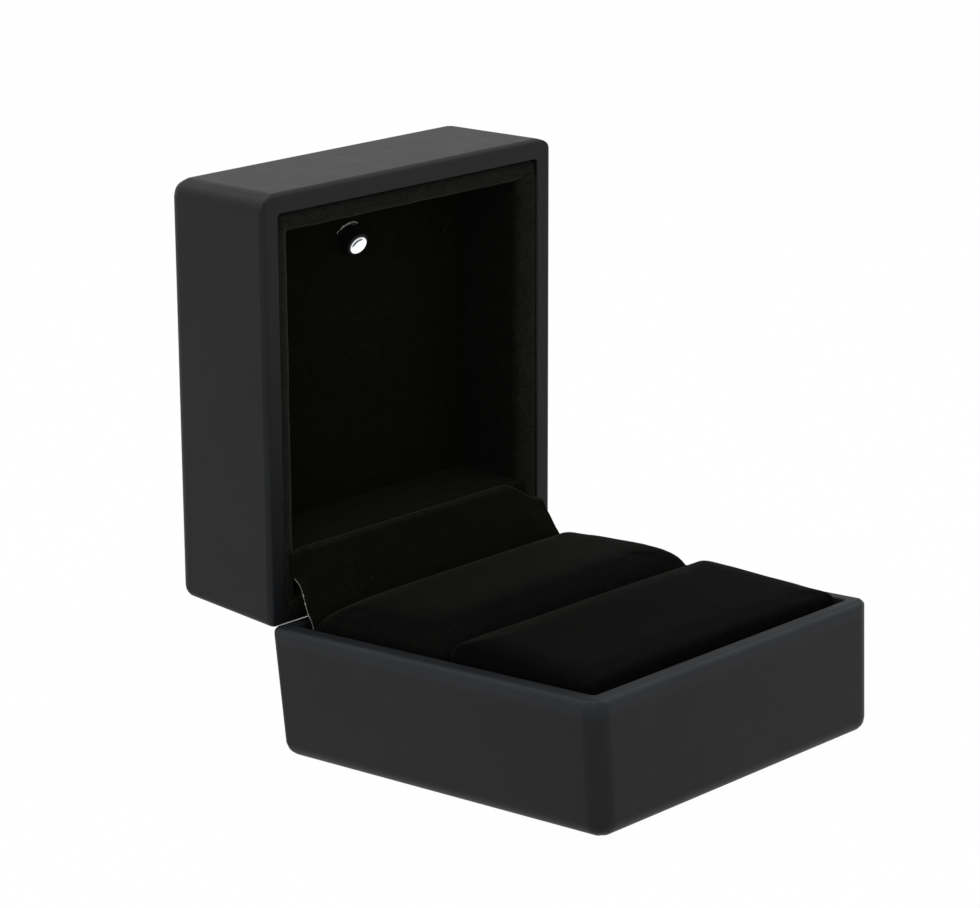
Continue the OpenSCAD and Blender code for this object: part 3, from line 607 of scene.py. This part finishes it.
def makeLidShell():
    obj = makeShell("LidShell", shell["lidHeight"], shell["lidWall"], shell["roof"], shell["rimRound"])
    obj.matrix_world = Matrix.Translation((0, 0, lidTop * mm)) @ Matrix.Rotation(math.pi, 4, "Y")
    applyPlace(obj)
    cutters = hingeCutters(hingeCut["lidFront"], lidRim - 1, hingeCut["lidHigh"],
                           lidInY, hingeCut["lidScrewZ"])
    for side in (-1, 1):
        x, y = side * boardScrew["x"], boardScrew["y"]
        start, end = (x, y, roofZ - 0.5), (x, y, roofZ + boardScrew["depth"])
        cutters.append(addRod("hole", boardScrew["radius"], start, end, 24))
    cutAway(obj, *cutters)
    for side in (-1, 1):
        for y in (posts["front"], posts["back"]):
            x = side * posts["x"]
            post = addRod("post", posts["radius"], (x, y, posts["low"]), (x, y, roofZ + 0.5), 32)
            useModifier(obj, "BOOLEAN", operation="UNION", solver="EXACT", object=post)
            bpy.data.objects.remove(post, do_unlink=True)
    smoothByAngle(obj)
    openWithLid(obj)
    return dress(obj, "lid", materials["lidShell"], "soft_touch_shell", "lid_shell")


def dullRim(material):
    tree, level = material.node_tree, shaderOf(material).inputs["Specular IOR Level"]
    shade = shadeByHeight(shell["dullFrom"], shell["dullTo"], level.default_value, shell["dullSpecular"])
    tree.links.new(shade(tree), level)


dullRim(materials["baseShell"])
makeBaseShell()
makeLidShell()
print("shells made")


# Ring pads

pads = {
    "foot": 18.0, "x": 27.0, "drawIn": 0.25,
    "rear": {"front": -0.4, "back": 26.95, "crown": 23.65, "fall": -0.3, "leftDrop": 0.3, "rightDrop": 0.0,
             "leftPower": 5.5, "rightPower": 12, "frontPower": 3.6, "backPower": 5},
    "front": {"front": -28.35, "back": -1.2, "crown": 23.05, "fall": 1.9, "leftDrop": 0.0, "rightDrop": 0.4,
              "leftPower": 14, "rightPower": 24, "frontPower": 14, "backPower": 5.5},
    "cuts": 40, "voxel": 0.5, "thinnest": 0.05,
    "grow": 20,             # the simulation runs at this many times the real size
    "steps": 20, "pressure": 4, "quality": 5,
    "held": 0.6,            # what lies this low over the foot stays as it is
    "swell": 0.25,          # how far the padding may swell
    "slowDents": (0.05, 7, 3), "fineDents": (0.02, 2.5, 8), "dentsFrom": 4,
}


# From 1 in the middle to 0 at the edge, the squarer the higher the power
def roundedOff(share, power):
    return (1 - min(1, abs(share)) ** power) ** (1 / power)


# Height of the cushion's top over its foot, for u and v from -1 to 1
def cushionTop(u, v, pad):
    drop = pad["leftDrop"] if u < 0 else pad["rightDrop"]
    rise = pad["crown"] - pads["foot"] - drop * u * u + pad["fall"] * (v - 0.6) / 2
    ends = roundedOff(u, pad["leftPower"] if u < 0 else pad["rightPower"])
    return rise * ends * roundedOff(v, pad["frontPower"] if v < 0 else pad["backPower"])


# The cushion's form from a subdivided cube, whose sides pull in between the corners
def makePadForm(name, pad):
    obj = addBox(name, (-1, -1, -1), (1, 1, 1))
    pickFaces(obj, lambda centre, normal: True)
    bpy.ops.mesh.subdivide(number_cuts=pads["cuts"])
    doneEditing()
    middle = (pad["front"] + pad["back"]) / 2
    half = (pad["back"] - pad["front"]) / 2
    for point in obj.data.vertices:
        u, v, w = (math.sin(math.pi / 2 * c / mm) for c in point.co)
        x = u * (pads["x"] - pads["drawIn"] * (1 - v * v) * abs(u))
        y = middle + v * (half - pads["drawIn"] * (1 - u * u) * abs(v))
        z = pads["foot"] + (w + 1) / 2 * max(pads["thinnest"], cushionTop(u, v, pad))
        point.co = Vector((x, y, z)) * mm
    return obj


# Lets the padding swell like foam under cloth, held along its foot, at a larger scale
def simulatePadding(obj):
    grow = pads["grow"]
    for point in obj.data.vertices:
        point.co *= grow
    hold = obj.vertex_groups.new(name="hold")
    foot = (pads["foot"] + pads["held"]) * mm * grow
    hold.add([p.index for p in obj.data.vertices if p.co.z < foot], 1.0, "REPLACE")
    before = [point.co.copy() for point in obj.data.vertices]
    cloth = obj.modifiers.new("Padding", "CLOTH")
    cloth.settings.vertex_group_mass = "hold"
    cloth.settings.use_pressure = True
    cloth.settings.uniform_pressure_force = pads["pressure"]
    cloth.settings.effector_weights.gravity = 0
    cloth.settings.quality = pads["quality"]
    cloth.point_cache.frame_start = 1
    cloth.point_cache.frame_end = pads["steps"]
    scene = bpy.context.scene
    for step in range(1, pads["steps"] + 1):
        scene.frame_set(step)
    pickOnly(obj)
    bpy.ops.object.modifier_apply(modifier=cloth.name)
    scene.frame_set(1)
    limit = pads["swell"] * mm * grow
    for point, old in zip(obj.data.vertices, before):
        moved = point.co - old
        if moved.length > limit:
            moved *= limit / moved.length
        point.co = (old + moved) / grow
    obj.vertex_groups.clear()


def makePad(name, pad, finish, node):
    obj = makePadForm(name, pad)
    useModifier(obj, "REMESH", mode="VOXEL", voxel_size=pads["voxel"] * mm)
    simulatePadding(obj)
    for point in obj.data.vertices:
        spot = point.co / mm
        top = min(1, max(0, (spot.z - pads["foot"]) / pads["dentsFrom"]))
        dents = rippled(pads["slowDents"], spot) + rippled(pads["fineDents"], spot)
        point.co.z += dents * top * mm
    useModifier(obj, "SMOOTH", factor=0.5, iterations=3)
    useModifier(obj, "SUBSURF", levels=1, render_levels=1)
    smoothAll(obj)
    dress(obj, "base", materials[finish], "velvet", node)
    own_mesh(obj)
    return obj


makePad("RearRingPad", pads["rear"], "rearPadVelvet", "rear_ring_pad")
makePad("FrontRingPad", pads["front"], "frontPadVelvet", "front_ring_pad")
print("pads made")


# Lid lining

lining = {
    "inX": 24.2, "inY": 26.7, "ledgeY": 21.9, "panelZ": 34.2,
    "lipZ": 20.32, "lipRise": 1.8, "lipWidth": 2.6, "tuck": 1.6, "thickness": 0.4, "overPanel": 0.3,
    "cornerRadius": 0.45, "squareCorner": 0.85, "cornerRun": 5.0,
    "belly": 0.12,    # the walls curve inwards
    "topBulge": 0.4, "bulgeHeights": (27, 22.5),    # the front wall thickens between these heights
    "dip": 0.15, "frontDip": 0.55, "dipWidth": 0.9,    # the lip's outer edge sinks into the lid
    # The lips run on past the ledge to the hinge wall, and the side walls go on as low strips
    "lipEnd": 28.9, "pastLedge": (0.3, 1.6), "strip": 0.3, "stripLoss": 0.92,
    "slowRipple": (0.07, 3.5, 5), "fineRipple": (0.04, 1.4, 9),
    "grid": (280, 44), "bias": 0.8,    # below 1, the grid is denser at the lip
}


# The shares of the grid for each part of the line round three sides, with more than their length for
# the corners
def lipStretches():
    side = lining["lipEnd"] + lining["inY"] - lining["cornerRadius"]
    across = 2 * (lining["inX"] - lining["cornerRadius"])
    return side, lining["cornerRun"], across, lining["cornerRun"], side


# A point and outward direction on the line round three sides of the lid's mouth, offset outwards
def lipPath(distance, offset):
    radius = lining["cornerRadius"]
    x, y = lining["inX"] - radius, lining["inY"] - radius
    for index, length in enumerate(lipStretches()):
        if distance <= length or index == 4:
            break
        distance -= length
    share = distance / length
    if index == 0:
        return Vector((-x - radius - offset, lining["lipEnd"] - distance, 0)), Vector((-1, 0, 0))
    if index == 2:
        return Vector((-x + distance, -y - radius - offset, 0)), Vector((0, -1, 0))
    if index == 4:
        return Vector((x + radius + offset, -y + distance, 0)), Vector((1, 0, 0))
    start = math.pi if index == 1 else 1.5 * math.pi
    angle = start + share * math.pi / 2
    out = Vector((math.cos(angle), math.sin(angle), 0))
    centre = Vector((-x if index == 1 else x, -y, 0))
    square = 1 / max(abs(out.x), abs(out.y)) - 1
    return centre + out * (radius + offset) * (1 + lining["squareCorner"] * square), out


# Offset and height along the lining's cross-section, from the panel round the lip and into the gap
def lipProfile(v):
    width, rise = lining["lipWidth"], lining["lipRise"]
    bendZ = lining["lipZ"] + rise
    topZ = lining["panelZ"] + lining["overPanel"]
    wallLength = topZ - bendZ
    arc = math.pi / 2 * math.sqrt((width * width + rise * rise) / 2)
    total = wallLength + arc + lining["tuck"]
    run = v * total
    if run < wallLength:
        belly = lining["belly"] * math.sin(math.pi * run / wallLength)
        return -belly, topZ - run, total
    run -= wallLength
    if run < arc:
        angle = math.pi / 2 * run / arc
        return width * (1 - math.cos(angle)), bendZ - rise * math.sin(angle), total
    return width, lining["lipZ"] + run - arc, total


def liningPoint(u, v):
    width = lining["lipWidth"]
    offset, z, _ = lipProfile(v ** lining["bias"])
    point, out = lipPath(u * sum(lipStretches()), offset)
    bulge = lining["topBulge"] * (1 - offset / width) * ease(z, *lining["bulgeHeights"])
    point.y -= bulge * min(0, out.y)
    dip = lining["dip"] + lining["frontDip"] * max(0, -out.y)
    z += dip * ease(offset, width - lining["dipWidth"], width)
    low = lining["lipZ"] + lining["lipRise"] + lining["strip"]
    beyond = ease(point.y, *(lining["ledgeY"] + past for past in lining["pastLedge"]))
    point.z = z if z < low else low + (z - low) * (1 - lining["stripLoss"] * beyond)
    ripple = rippled(lining["slowRipple"], (point.x, point.y, point.z * 0.6))
    ripple += rippled(lining["fineRipple"], point)
    return point + out * ripple + Vector((0, 0, ripple * 0.6))


# Cloth over the hinge wall's rim on both sides of the hinge: from where to where in x, its length inside
# the wall and in all, and its distances from the wall and the rim
rimCloth = {"near": 18.7, "far": 26.6, "inside": 4.0, "length": 5.9, "offWall": 0.2, "offRim": 0.06,
            "thickness": 0.08, "grid": (40, 30)}


def rimClothPoint(side, u, v):
    near, far = rimCloth["near"], rimCloth["far"]
    x = side * (near + (far - near) * (u if side > 0 else 1 - u))
    run, inside = rimCloth["length"] * v, rimCloth["inside"]
    y, z = lidInY - rimCloth["offWall"], lidRim - rimCloth["offRim"]
    if run < inside:
        return x, y, z + inside - run
    return x, y + run - inside, z


def makeLiningVelvet():
    obj = addGrid("LiningVelvet", *lining["grid"], liningPoint)
    cloths = [addGrid("rimCloth", *rimCloth["grid"], lambda u, v: rimClothPoint(side, u, v))
              for side in (-1, 1)]
    for cloth in cloths:
        useModifier(cloth, "SOLIDIFY", thickness=rimCloth["thickness"] * mm, offset=0)
    useModifier(obj, "SOLIDIFY", thickness=lining["thickness"] * mm, offset=-1)
    pickOnly(obj, *cloths)
    bpy.ops.object.join()
    smoothByAngle(obj, 60)
    openWithLid(obj)
    dress(obj, "lid", materials["liningVelvet"], "velvet", "lining_velvet")
    width = lipProfile(1)[2]
    return obj


ledge = {
    "round": 0.35, "turnedIn": 1.0,
    "slowRipple": (0.06, 4, 12), "fineRipple": (0.03, 1.6, 14), "grid": (90, 32),
}


# The ledge by the hinge, from the panel to the mouth and round the card's edge
def ledgePoint(u, v):
    x = (u - 0.5) * 2 * lining["inX"]
    radius, topZ = ledge["round"], lining["panelZ"] + lining["overPanel"]
    straight = topZ - lidRim - radius
    bend = math.pi / 2 * radius
    run = v * (straight + bend + ledge["turnedIn"])
    y, z = lining["ledgeY"], topZ - run
    if run > straight + bend:
        y += radius + run - straight - bend
        z = lidRim
    elif run > straight:
        angle = (run - straight) / radius
        y += radius * (1 - math.cos(angle))
        z = lidRim + radius * (1 - math.sin(angle))
    ripple = rippled(ledge["slowRipple"], (x, y, z)) + rippled(ledge["fineRipple"], (x, y, z))
    return x, y + ripple, z


def makeLedgeVelvet():
    obj = addGrid("LedgeVelvet", *ledge["grid"], ledgePoint)
    useModifier(obj, "SOLIDIFY", thickness=lining["thickness"] * mm, offset=1)
    smoothByAngle(obj, 60)
    openWithLid(obj)
    dress(obj, "lid", materials["ledgeVelvet"], "velvet", "lining_velvet")
    return obj


# The panel's velvet is cut for the lamp
lamp = {
    "radius": 1.5, "y": -18.5, "z": 32.0, "tilt": 24.0, "lean": 5.0,
    "lensRise": 0.3, "bodyLength": 3.0, "flangeRadius": 1.9, "flangeLength": 1.0,
    "lensShow": 0.1, "sleeveRadius": 1.92, "boreGap": 0.03, "holeRadius": 2.02,
    # From the lens's tip: where the glow fades out, and a dark line inside the rim, on one side
    "glowFade": (1.32, 1.54), "lineRadius": 1.12, "lineFade": (0.17, 0.27),
    "lineSide": (-0.6, -0.8, 0), "lineFrom": (0.5, 0.8), "lineDepth": 0.95,
}


# From the lamp's own axis, lens down and body up, to its place in the shut lid
def lampMatrix():
    place = Matrix.Translation(Vector((0, lamp["y"], lamp["z"])) * mm)
    lean = Matrix.Rotation(math.radians(lamp["lean"]), 4, "Y")
    return place @ lean @ Matrix.Rotation(math.radians(lamp["tilt"]), 4, "X")


def alongLamp(distance):
    return lampMatrix() @ Vector((0, 0, distance * mm)) / mm


panel = {"gap": 0.05, "slowRipple": (0.06, 9, 20), "fineRipple": (0.03, 2.5, 21), "grid": (110, 110)}


def panelPoint(u, v):
    gap = panel["gap"]
    x = (u - 0.5) * 2 * (lining["inX"] - gap)
    y = -lining["inY"] + gap + v * (lining["ledgeY"] + lining["inY"] - 2 * gap)
    ripple = rippled(panel["slowRipple"], (x, y, 0)) + rippled(panel["fineRipple"], (x, y, 0))
    return x, y, lining["panelZ"] + ripple


def makePanelVelvet():
    obj = addGrid("BackPanelVelvet", *panel["grid"], panelPoint)
    useModifier(obj, "SOLIDIFY", thickness=lining["thickness"] * mm, offset=1)
    cutAway(obj, addRod("hole", lamp["holeRadius"], alongLamp(-4), alongLamp(8), 64))
    smoothByAngle(obj, 50)
    openWithLid(obj)
    dress(obj, "lid", materials["panelVelvet"], "velvet", "back_panel_velvet")
    return obj


makeLiningVelvet()
makeLedgeVelvet()
makePanelVelvet()
print("lining made")


# Velvet ribbon over the hinge, from the ledge's edge down behind the rear pad

# Side views as y, z: from the ledge, over its edge and down to the card
ribbon = {
    "leftEnd": -26.0, "rightEnd": 26.6, "thickness": 0.45,
    "left": ((31.3, 30.9), (31.25, 30.0), (31.2, 29.0), (31.15, 28.0), (30.9, 26.9),
             (29.7, 25.8), (29.1, 24.2), (28.5, 22.0), (27.6, 20.2), (27.25, 17.75)),
    "middle": ((33.2, 30.0), (32.3, 30.42), (31.5, 30.5), (30.95, 29.8), (30.3, 28.2),
               (29.5, 26.2), (28.7, 24.0), (27.8, 21.9), (27.3, 20.0), (27.25, 17.75)),
    "right": ((31.9, 27.2), (31.3, 27.15), (30.6, 27.0), (30.1, 26.6), (29.7, 25.7),
              (28.9, 24.6), (27.9, 23.0), (27.0, 21.7), (27.15, 20.2), (27.25, 17.75)),
    "leftShare": 0.07, "rightFrom": 0.86,    # along the hinge, where the left view ends and the right starts
    "lengthFlat": 14.8,
    "slowRipple": (0.16, 6, 30), "fineRipple": (0.05, 2, 31), "grid": (160, 60),
}


# The side view changes from the left end's to the middle one and on to the right end's
def ribbonPoint(u, v):
    left = 1 - ease(u, 0.0, ribbon["leftShare"])
    right = ease(u, ribbon["rightFrom"], 1.0)
    shares = {"left": left, "middle": 1 - left - right, "right": right}
    place = sum((throughPoints(ribbon[view], v) * shares[view] for view in shares), Vector((0, 0)))
    x = ribbon["leftEnd"] + u * (ribbon["rightEnd"] - ribbon["leftEnd"])
    ripple = rippled(ribbon["slowRipple"], (x, 4 * v, 0)) + rippled(ribbon["fineRipple"], (x, 6 * v, 0))
    return x, place.x + math.sin(math.pi * v) * ripple, place.y


def blendOverHinge(obj):
    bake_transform(obj)


def makeRibbon():
    obj = addGrid("HingeRibbon", *ribbon["grid"], ribbonPoint)
    useModifier(obj, "SOLIDIFY", thickness=ribbon["thickness"] * mm, offset=0)
    useModifier(obj, "BEVEL", width=0.12 * mm, segments=2, angle_limit=math.radians(60))
    smoothAll(obj)
    dress(obj, None, materials["ribbonVelvet"], "velvet", "hinge_ribbon")
    blendOverHinge(obj)
    return obj


# Pale backing threads that show along the ribbon's cut left edge, in uneven tufts
fray = {
    "start": 0.46, "length": 0.5,    # as shares of the ribbon's side view
    "width": 0.13, "narrowest": 0.05, "thickness": 0.05,
    "stretch": 60, "fineTufts": (4.2, 0.8, 41), "slowTufts": (1.4, 2.3, 40), "bare": 0.15,
    "thickTufts": ((0.38, 2.6), (0.52, 1.7)), "tuftLength": 0.025,
    "loose": (0.12, 0.9, 42), "inward": 0.02, "grid": (220, 5),
}


def frayPoint(u, v):
    along = fray["start"] + fray["length"] * u
    before, after = (Vector(ribbonPoint(0, along + step)) for step in (-0.01, 0.01))
    across = Vector((0, before.z - after.z, after.y - before.y)).normalized()
    spot = (fray["stretch"] * u, 0, 0)
    tufts = max(0, rippled(fray["fineTufts"], spot)) + rippled(fray["slowTufts"], spot) - fray["bare"]
    for centre, size in fray["thickTufts"]:
        tufts += size * math.exp(-((u - centre) / fray["tuftLength"]) ** 2)
    width = fray["width"] * max(fray["narrowest"], tufts)
    out = rippled(fray["loose"], (fray["stretch"] * u, 5 * v, 0)) - fray["inward"]
    return (before + after) / 2 + across * (v - 0.5) * width + Vector((out, 0, 0))


def makeFray():
    obj = addGrid("RibbonFray", *fray["grid"], frayPoint)
    useModifier(obj, "SOLIDIFY", thickness=fray["thickness"] * mm, offset=0)
    smoothAll(obj)
    dress(obj, None, materials["backing"], "velvet")
    blendOverHinge(obj)
    return obj


makeFray()
makeRibbon()
print("ribbon made")


# Lamp

def drawOut(height):
    bpy.ops.mesh.extrude_region_move(TRANSFORM_OT_translate={"value": (0, 0, height * mm)})


# A low dome, drawn out to the lamp's body and then to its flange
def makeLampLens():
    radius = lamp["radius"] * mm
    bpy.ops.mesh.primitive_uv_sphere_add(segments=48, ring_count=24, radius=radius)
    obj = bpy.context.object
    obj.name = "LampLens"
    pickFaces(obj, lambda centre, normal: centre.z > 0)
    bpy.ops.mesh.delete(type="FACE")
    bpy.ops.mesh.select_all(action="SELECT")
    bpy.ops.transform.resize(value=(1, 1, lamp["lensRise"] / lamp["radius"]), center_override=(0, 0, 0))
    doneEditing()
    pickEdges(obj, lambda a, b: abs(a.z) < 1e-4 and abs(b.z) < 1e-4)
    drawOut(lamp["bodyLength"])
    drawOut(0)
    flange = lamp["flangeRadius"] / lamp["radius"]
    bpy.ops.transform.resize(value=(flange, flange, 1), center_override=(0, 0, 0))
    drawOut(lamp["flangeLength"])
    bpy.ops.mesh.fill()
    doneEditing()
    useModifier(obj, "BEVEL", width=0.08 * mm, segments=2, angle_limit=math.radians(50))
    smoothByAngle(obj)
    obj.matrix_world = openMatrix() @ lampMatrix() @ obj.matrix_world
    applyPlace(obj)
    return obj


def fadeAt(tree, value, places, before, after):
    return spread(tree, value, places[0] * mm, places[1] * mm, before, after)


# Clear resin over a lit chip: white to near its rim, and dark behind it
def lensMaterial():
    material = newMaterial("LampClear", "fibre",
                           {"Pulp": grey(0.02, (1, 0.85, 0.75)), "Fleck": grey(0.05), "Roughness": 0.12},
                           0.05, 0.005, {"Emission Strength": 1.6, "Coat Weight": 0.5})
    tree = material.node_tree
    placed = openMatrix() @ lampMatrix()
    tip = placed @ Vector((0, 0, -lamp["lensRise"] * mm))
    side = placed.to_3x3() @ Vector(lamp["lineSide"]).normalized()
    place = addNode(tree, "TexCoord").outputs["Object"]
    reach = vectorNode(tree, "DISTANCE", place, tip).outputs["Value"]
    away = vectorNode(tree, "SUBTRACT", place, tip).outputs[0]
    aside = vectorNode(tree, "DOT_PRODUCT", away, side).outputs["Value"]
    near = mathNode(tree, "ABSOLUTE", mathNode(tree, "SUBTRACT", reach, lamp["lineRadius"] * mm))
    line = mathNode(tree, "MULTIPLY", fadeAt(tree, near, lamp["lineFade"], 1.0, 0.0),
                    fadeAt(tree, aside, lamp["lineFrom"], 0.0, lamp["lineDepth"]))
    glow = mathNode(tree, "MULTIPLY", fadeAt(tree, reach, lamp["glowFade"], 1.0, 0.0),
                    mathNode(tree, "SUBTRACT", 1.0, line))
    colour = blendColours(tree, glow, grey(0.02, (0.6, 0.78, 1)), grey(1.0, (0.94, 0.97, 1)))
    tree.links.new(colour, shaderOf(material).inputs["Emission Color"])
    return material


def makeSleeve():
    start, end = alongLamp(lamp["lensShow"]), alongLamp(lamp["bodyLength"] - 0.02)
    obj = addRod("LampSleeve", lamp["sleeveRadius"], start, end, 64)
    cutAway(obj, addRod("bore", lamp["radius"] + lamp["boreGap"], alongLamp(-1), alongLamp(6), 64))
    useModifier(obj, "BEVEL", width=0.1 * mm, segments=3, angle_limit=math.radians(50))
    smoothByAngle(obj)
    openWithLid(obj)
    return dress(obj, "lid", materials["rubber"], "sleeve_rubber", "lamp_sleeve")


# Backing threads that lie loose round the cut edge of the lamp's hole, and one stray fibre, as x and y
threads = {
    "HoleFrayEnd": {"thickness": 0.17, "steps": 16, "finish": "threads", "line": (
        (-2.5, -20.35), (-2.3, -20.65), (-2.0, -20.8))},
    "HoleFrayMiddle": {"thickness": 0.32, "steps": 40, "finish": "threads", "line": (
        (-1.8, -20.85), (-1.31, -21.25), (-0.9, -21.35), (-0.47, -21.5), (0.05, -21.6), (0.36, -21.72))},
    "HoleFrayTop": {"thickness": 0.22, "steps": 30, "finish": "threads", "line": (
        (0.5, -21.7), (0.99, -21.66), (1.5, -21.5), (1.82, -21.35))},
    "StrayFibre": {"thickness": 0.05, "steps": 40, "finish": "holder", "line": (
        (21.83, -18.98), (21.5, -18.2), (20.8, -17.6), (20.27, -16.85))},
}
threadForm = {
    "overPanel": 0.2, "rise": 0.01, "slack": (0.04, 0.8, 52),
    "thinnest": 0.2, "body": 0.5, "slowTufts": (1.3, 3.1, 50), "fineTufts": (0.4, 1.1, 53),
}


def threadLine(line, u):
    spot = throughPoints(line, min(1, max(0, u)))
    slack = rippled(threadForm["slack"], (12 * u, spot.x, 0)) + threadForm["rise"] * u
    return Vector((spot.x, spot.y, lining["panelZ"] - threadForm["overPanel"] + slack))


# A thin uneven thread along a line of points in the shut lid
def addThread(name, thread):
    def place(u, v):
        before, after = (threadLine(thread["line"], at) for at in (max(0, u - 0.02), min(1, u + 0.02)))
        along = (after - before).normalized()
        side = along.cross(Vector((0, 0, 1))).normalized()
        angle = 2 * math.pi * v
        spot = (thread["steps"] * u, 0, 0)
        tufts = threadForm["body"] + abs(rippled(threadForm["slowTufts"], spot))
        tufts += rippled(threadForm["fineTufts"], spot)
        radius = thread["thickness"] / 2 * max(threadForm["thinnest"], tufts)
        turned = math.cos(angle) * side + math.sin(angle) * side.cross(along)
        return (before + after) / 2 + radius * turned

    obj = addGrid(name, thread["steps"], 8, place)
    clearPick(obj, "VERT")
    bpy.ops.object.mode_set(mode="EDIT")
    bpy.ops.mesh.select_all(action="SELECT")
    bpy.ops.mesh.remove_doubles(threshold=1e-7)
    bpy.ops.mesh.select_all(action="DESELECT")
    bpy.ops.mesh.select_non_manifold()
    bpy.ops.mesh.fill()
    bpy.ops.mesh.select_all(action="SELECT")
    bpy.ops.mesh.normals_make_consistent(inside=False)
    doneEditing()
    smoothAll(obj)
    openWithLid(obj)
    return dress(obj, "lid", materials[thread["finish"]], "velvet")


dress(makeLampLens(), "lid", lensMaterial(), "lamp_clear", "lamp")
for name, thread in threads.items():
    addThread(name, thread)
makeSleeve()
print("lamp made")


# The nodes that stay as the frame has them

nodeFinishes = {
    "greyCard": ("floor_card",),
    "blackCard": ("card_surround", "lining_card", "back_panel_card"),
    "foam": ("rear_pad_core", "front_pad_core"),
    "leaf": ("hinge_base_leaf", "hinge_lid_leaf"),
    "screw": ("hinge_base_screws", "hinge_lid_screws", "hinge_pin", "board_screws", "strap_rivets"),
    "magnet": ("switch_magnet",),
    "tinned": ("lamp_leads",),
    "boardGreen": ("circuit_board",),
    "cellSteel": ("button_cells",),
    "brass": ("cell_straps",),
    "resistor": ("resistor",),
    "reedGlass": ("reed_switch",),
    "holder": ("reed_holder",),
    "wireRed": ("reed_wires",),
}

for finishName, nodeNames in nodeFinishes.items():
    for nodeName in nodeNames:
        node = frame["nodes"][nodeName]
        node.data.materials.clear()
        node.data.materials.append(materials[finishName])
print("frame nodes finished")


# Floor, backdrop and light

studio = {
    "floorSize": 8.0, "floorColour": 0.86, "floorClouds": 0.03, "whiteShare": 0.985,
    "worldStrength": 0.62, "aim": (0, 0, 0.03),
    "lights": (
        {"place": (-0.2, -0.1, 1.0), "size": 0.5, "power": 2.2, "colour": (1, 1, 1)},
        {"place": (-0.15, 0.7, 0.75), "size": 0.4, "power": 1.0, "colour": (1, 0.99, 1)},
        {"place": (0.75, -0.2, 0.7), "size": 0.4, "power": 1.0, "colour": (0.98, 0.98, 1)},
        {"place": (-0.8, -0.55, 0.3), "size": 0.5, "power": 1.2, "colour": (0.97, 0.99, 1)},
    ),
}


# 1 for rays that come straight from the camera, a mirror or glass
def seenDirectly(tree):
    path = addNode(tree, "LightPath")
    seen = mathNode(tree, "MAXIMUM", path.outputs["Is Camera Ray"], path.outputs["Is Glossy Ray"])
    return mathNode(tree, "MAXIMUM", seen, path.outputs["Is Transmission Ray"])


def makeFloor():
    bpy.ops.mesh.primitive_plane_add(size=studio["floorSize"])
    floor = bpy.context.object
    floor.name = "Floor"
    material = bpy.data.materials.new("PalePaper")
    material.use_nodes = True
    tree = material.node_tree
    tree.nodes.clear()
    output = addNode(tree, "OutputMaterial")
    clouds = addNode(tree, "TexNoise", {"Scale": 3.0}).outputs["Fac"]
    low, high = studio["floorColour"], studio["floorColour"] + studio["floorClouds"]
    pale = blendColours(tree, clouds, grey(low), grey(high))
    paper = addNode(tree, "BsdfDiffuse", {"Color": pale})
    white = addNode(tree, "Emission", {"Color": grey(1.0), "Strength": 1.0})
    share = mathNode(tree, "MULTIPLY", seenDirectly(tree), studio["whiteShare"])
    mixed = addNode(tree, "MixShader", {0: share, 1: paper.outputs[0], 2: white.outputs[0]})
    tree.links.new(mixed.outputs[0], output.inputs[0])
    floor.data.materials.append(material)


def makeLight():
    world = bpy.data.worlds.new("Studio")
    bpy.context.scene.world = world
    world.use_nodes = True
    tree = world.node_tree
    tree.nodes.clear()
    output = addNode(tree, "OutputWorld")
    strength = spread(tree, seenDirectly(tree), 0.0, 1.0, studio["worldStrength"], 1.0)
    sky = addNode(tree, "Background", {"Color": grey(1.0), "Strength": strength})
    tree.links.new(sky.outputs[0], output.inputs[0])
    for light in studio["lights"]:
        bpy.ops.object.light_add(type="AREA", location=light["place"])
        area = bpy.context.object
        area.data.size = light["size"]
        area.data.energy = light["power"]
        area.data.color = light["colour"]
        towards = Vector(studio["aim"]) - area.location
        area.rotation_euler = towards.to_track_quat("-Z", "Y").to_euler()


makeFloor()
makeLight()
bpy.context.scene.view_settings.view_transform = "Standard"
print("studio set")
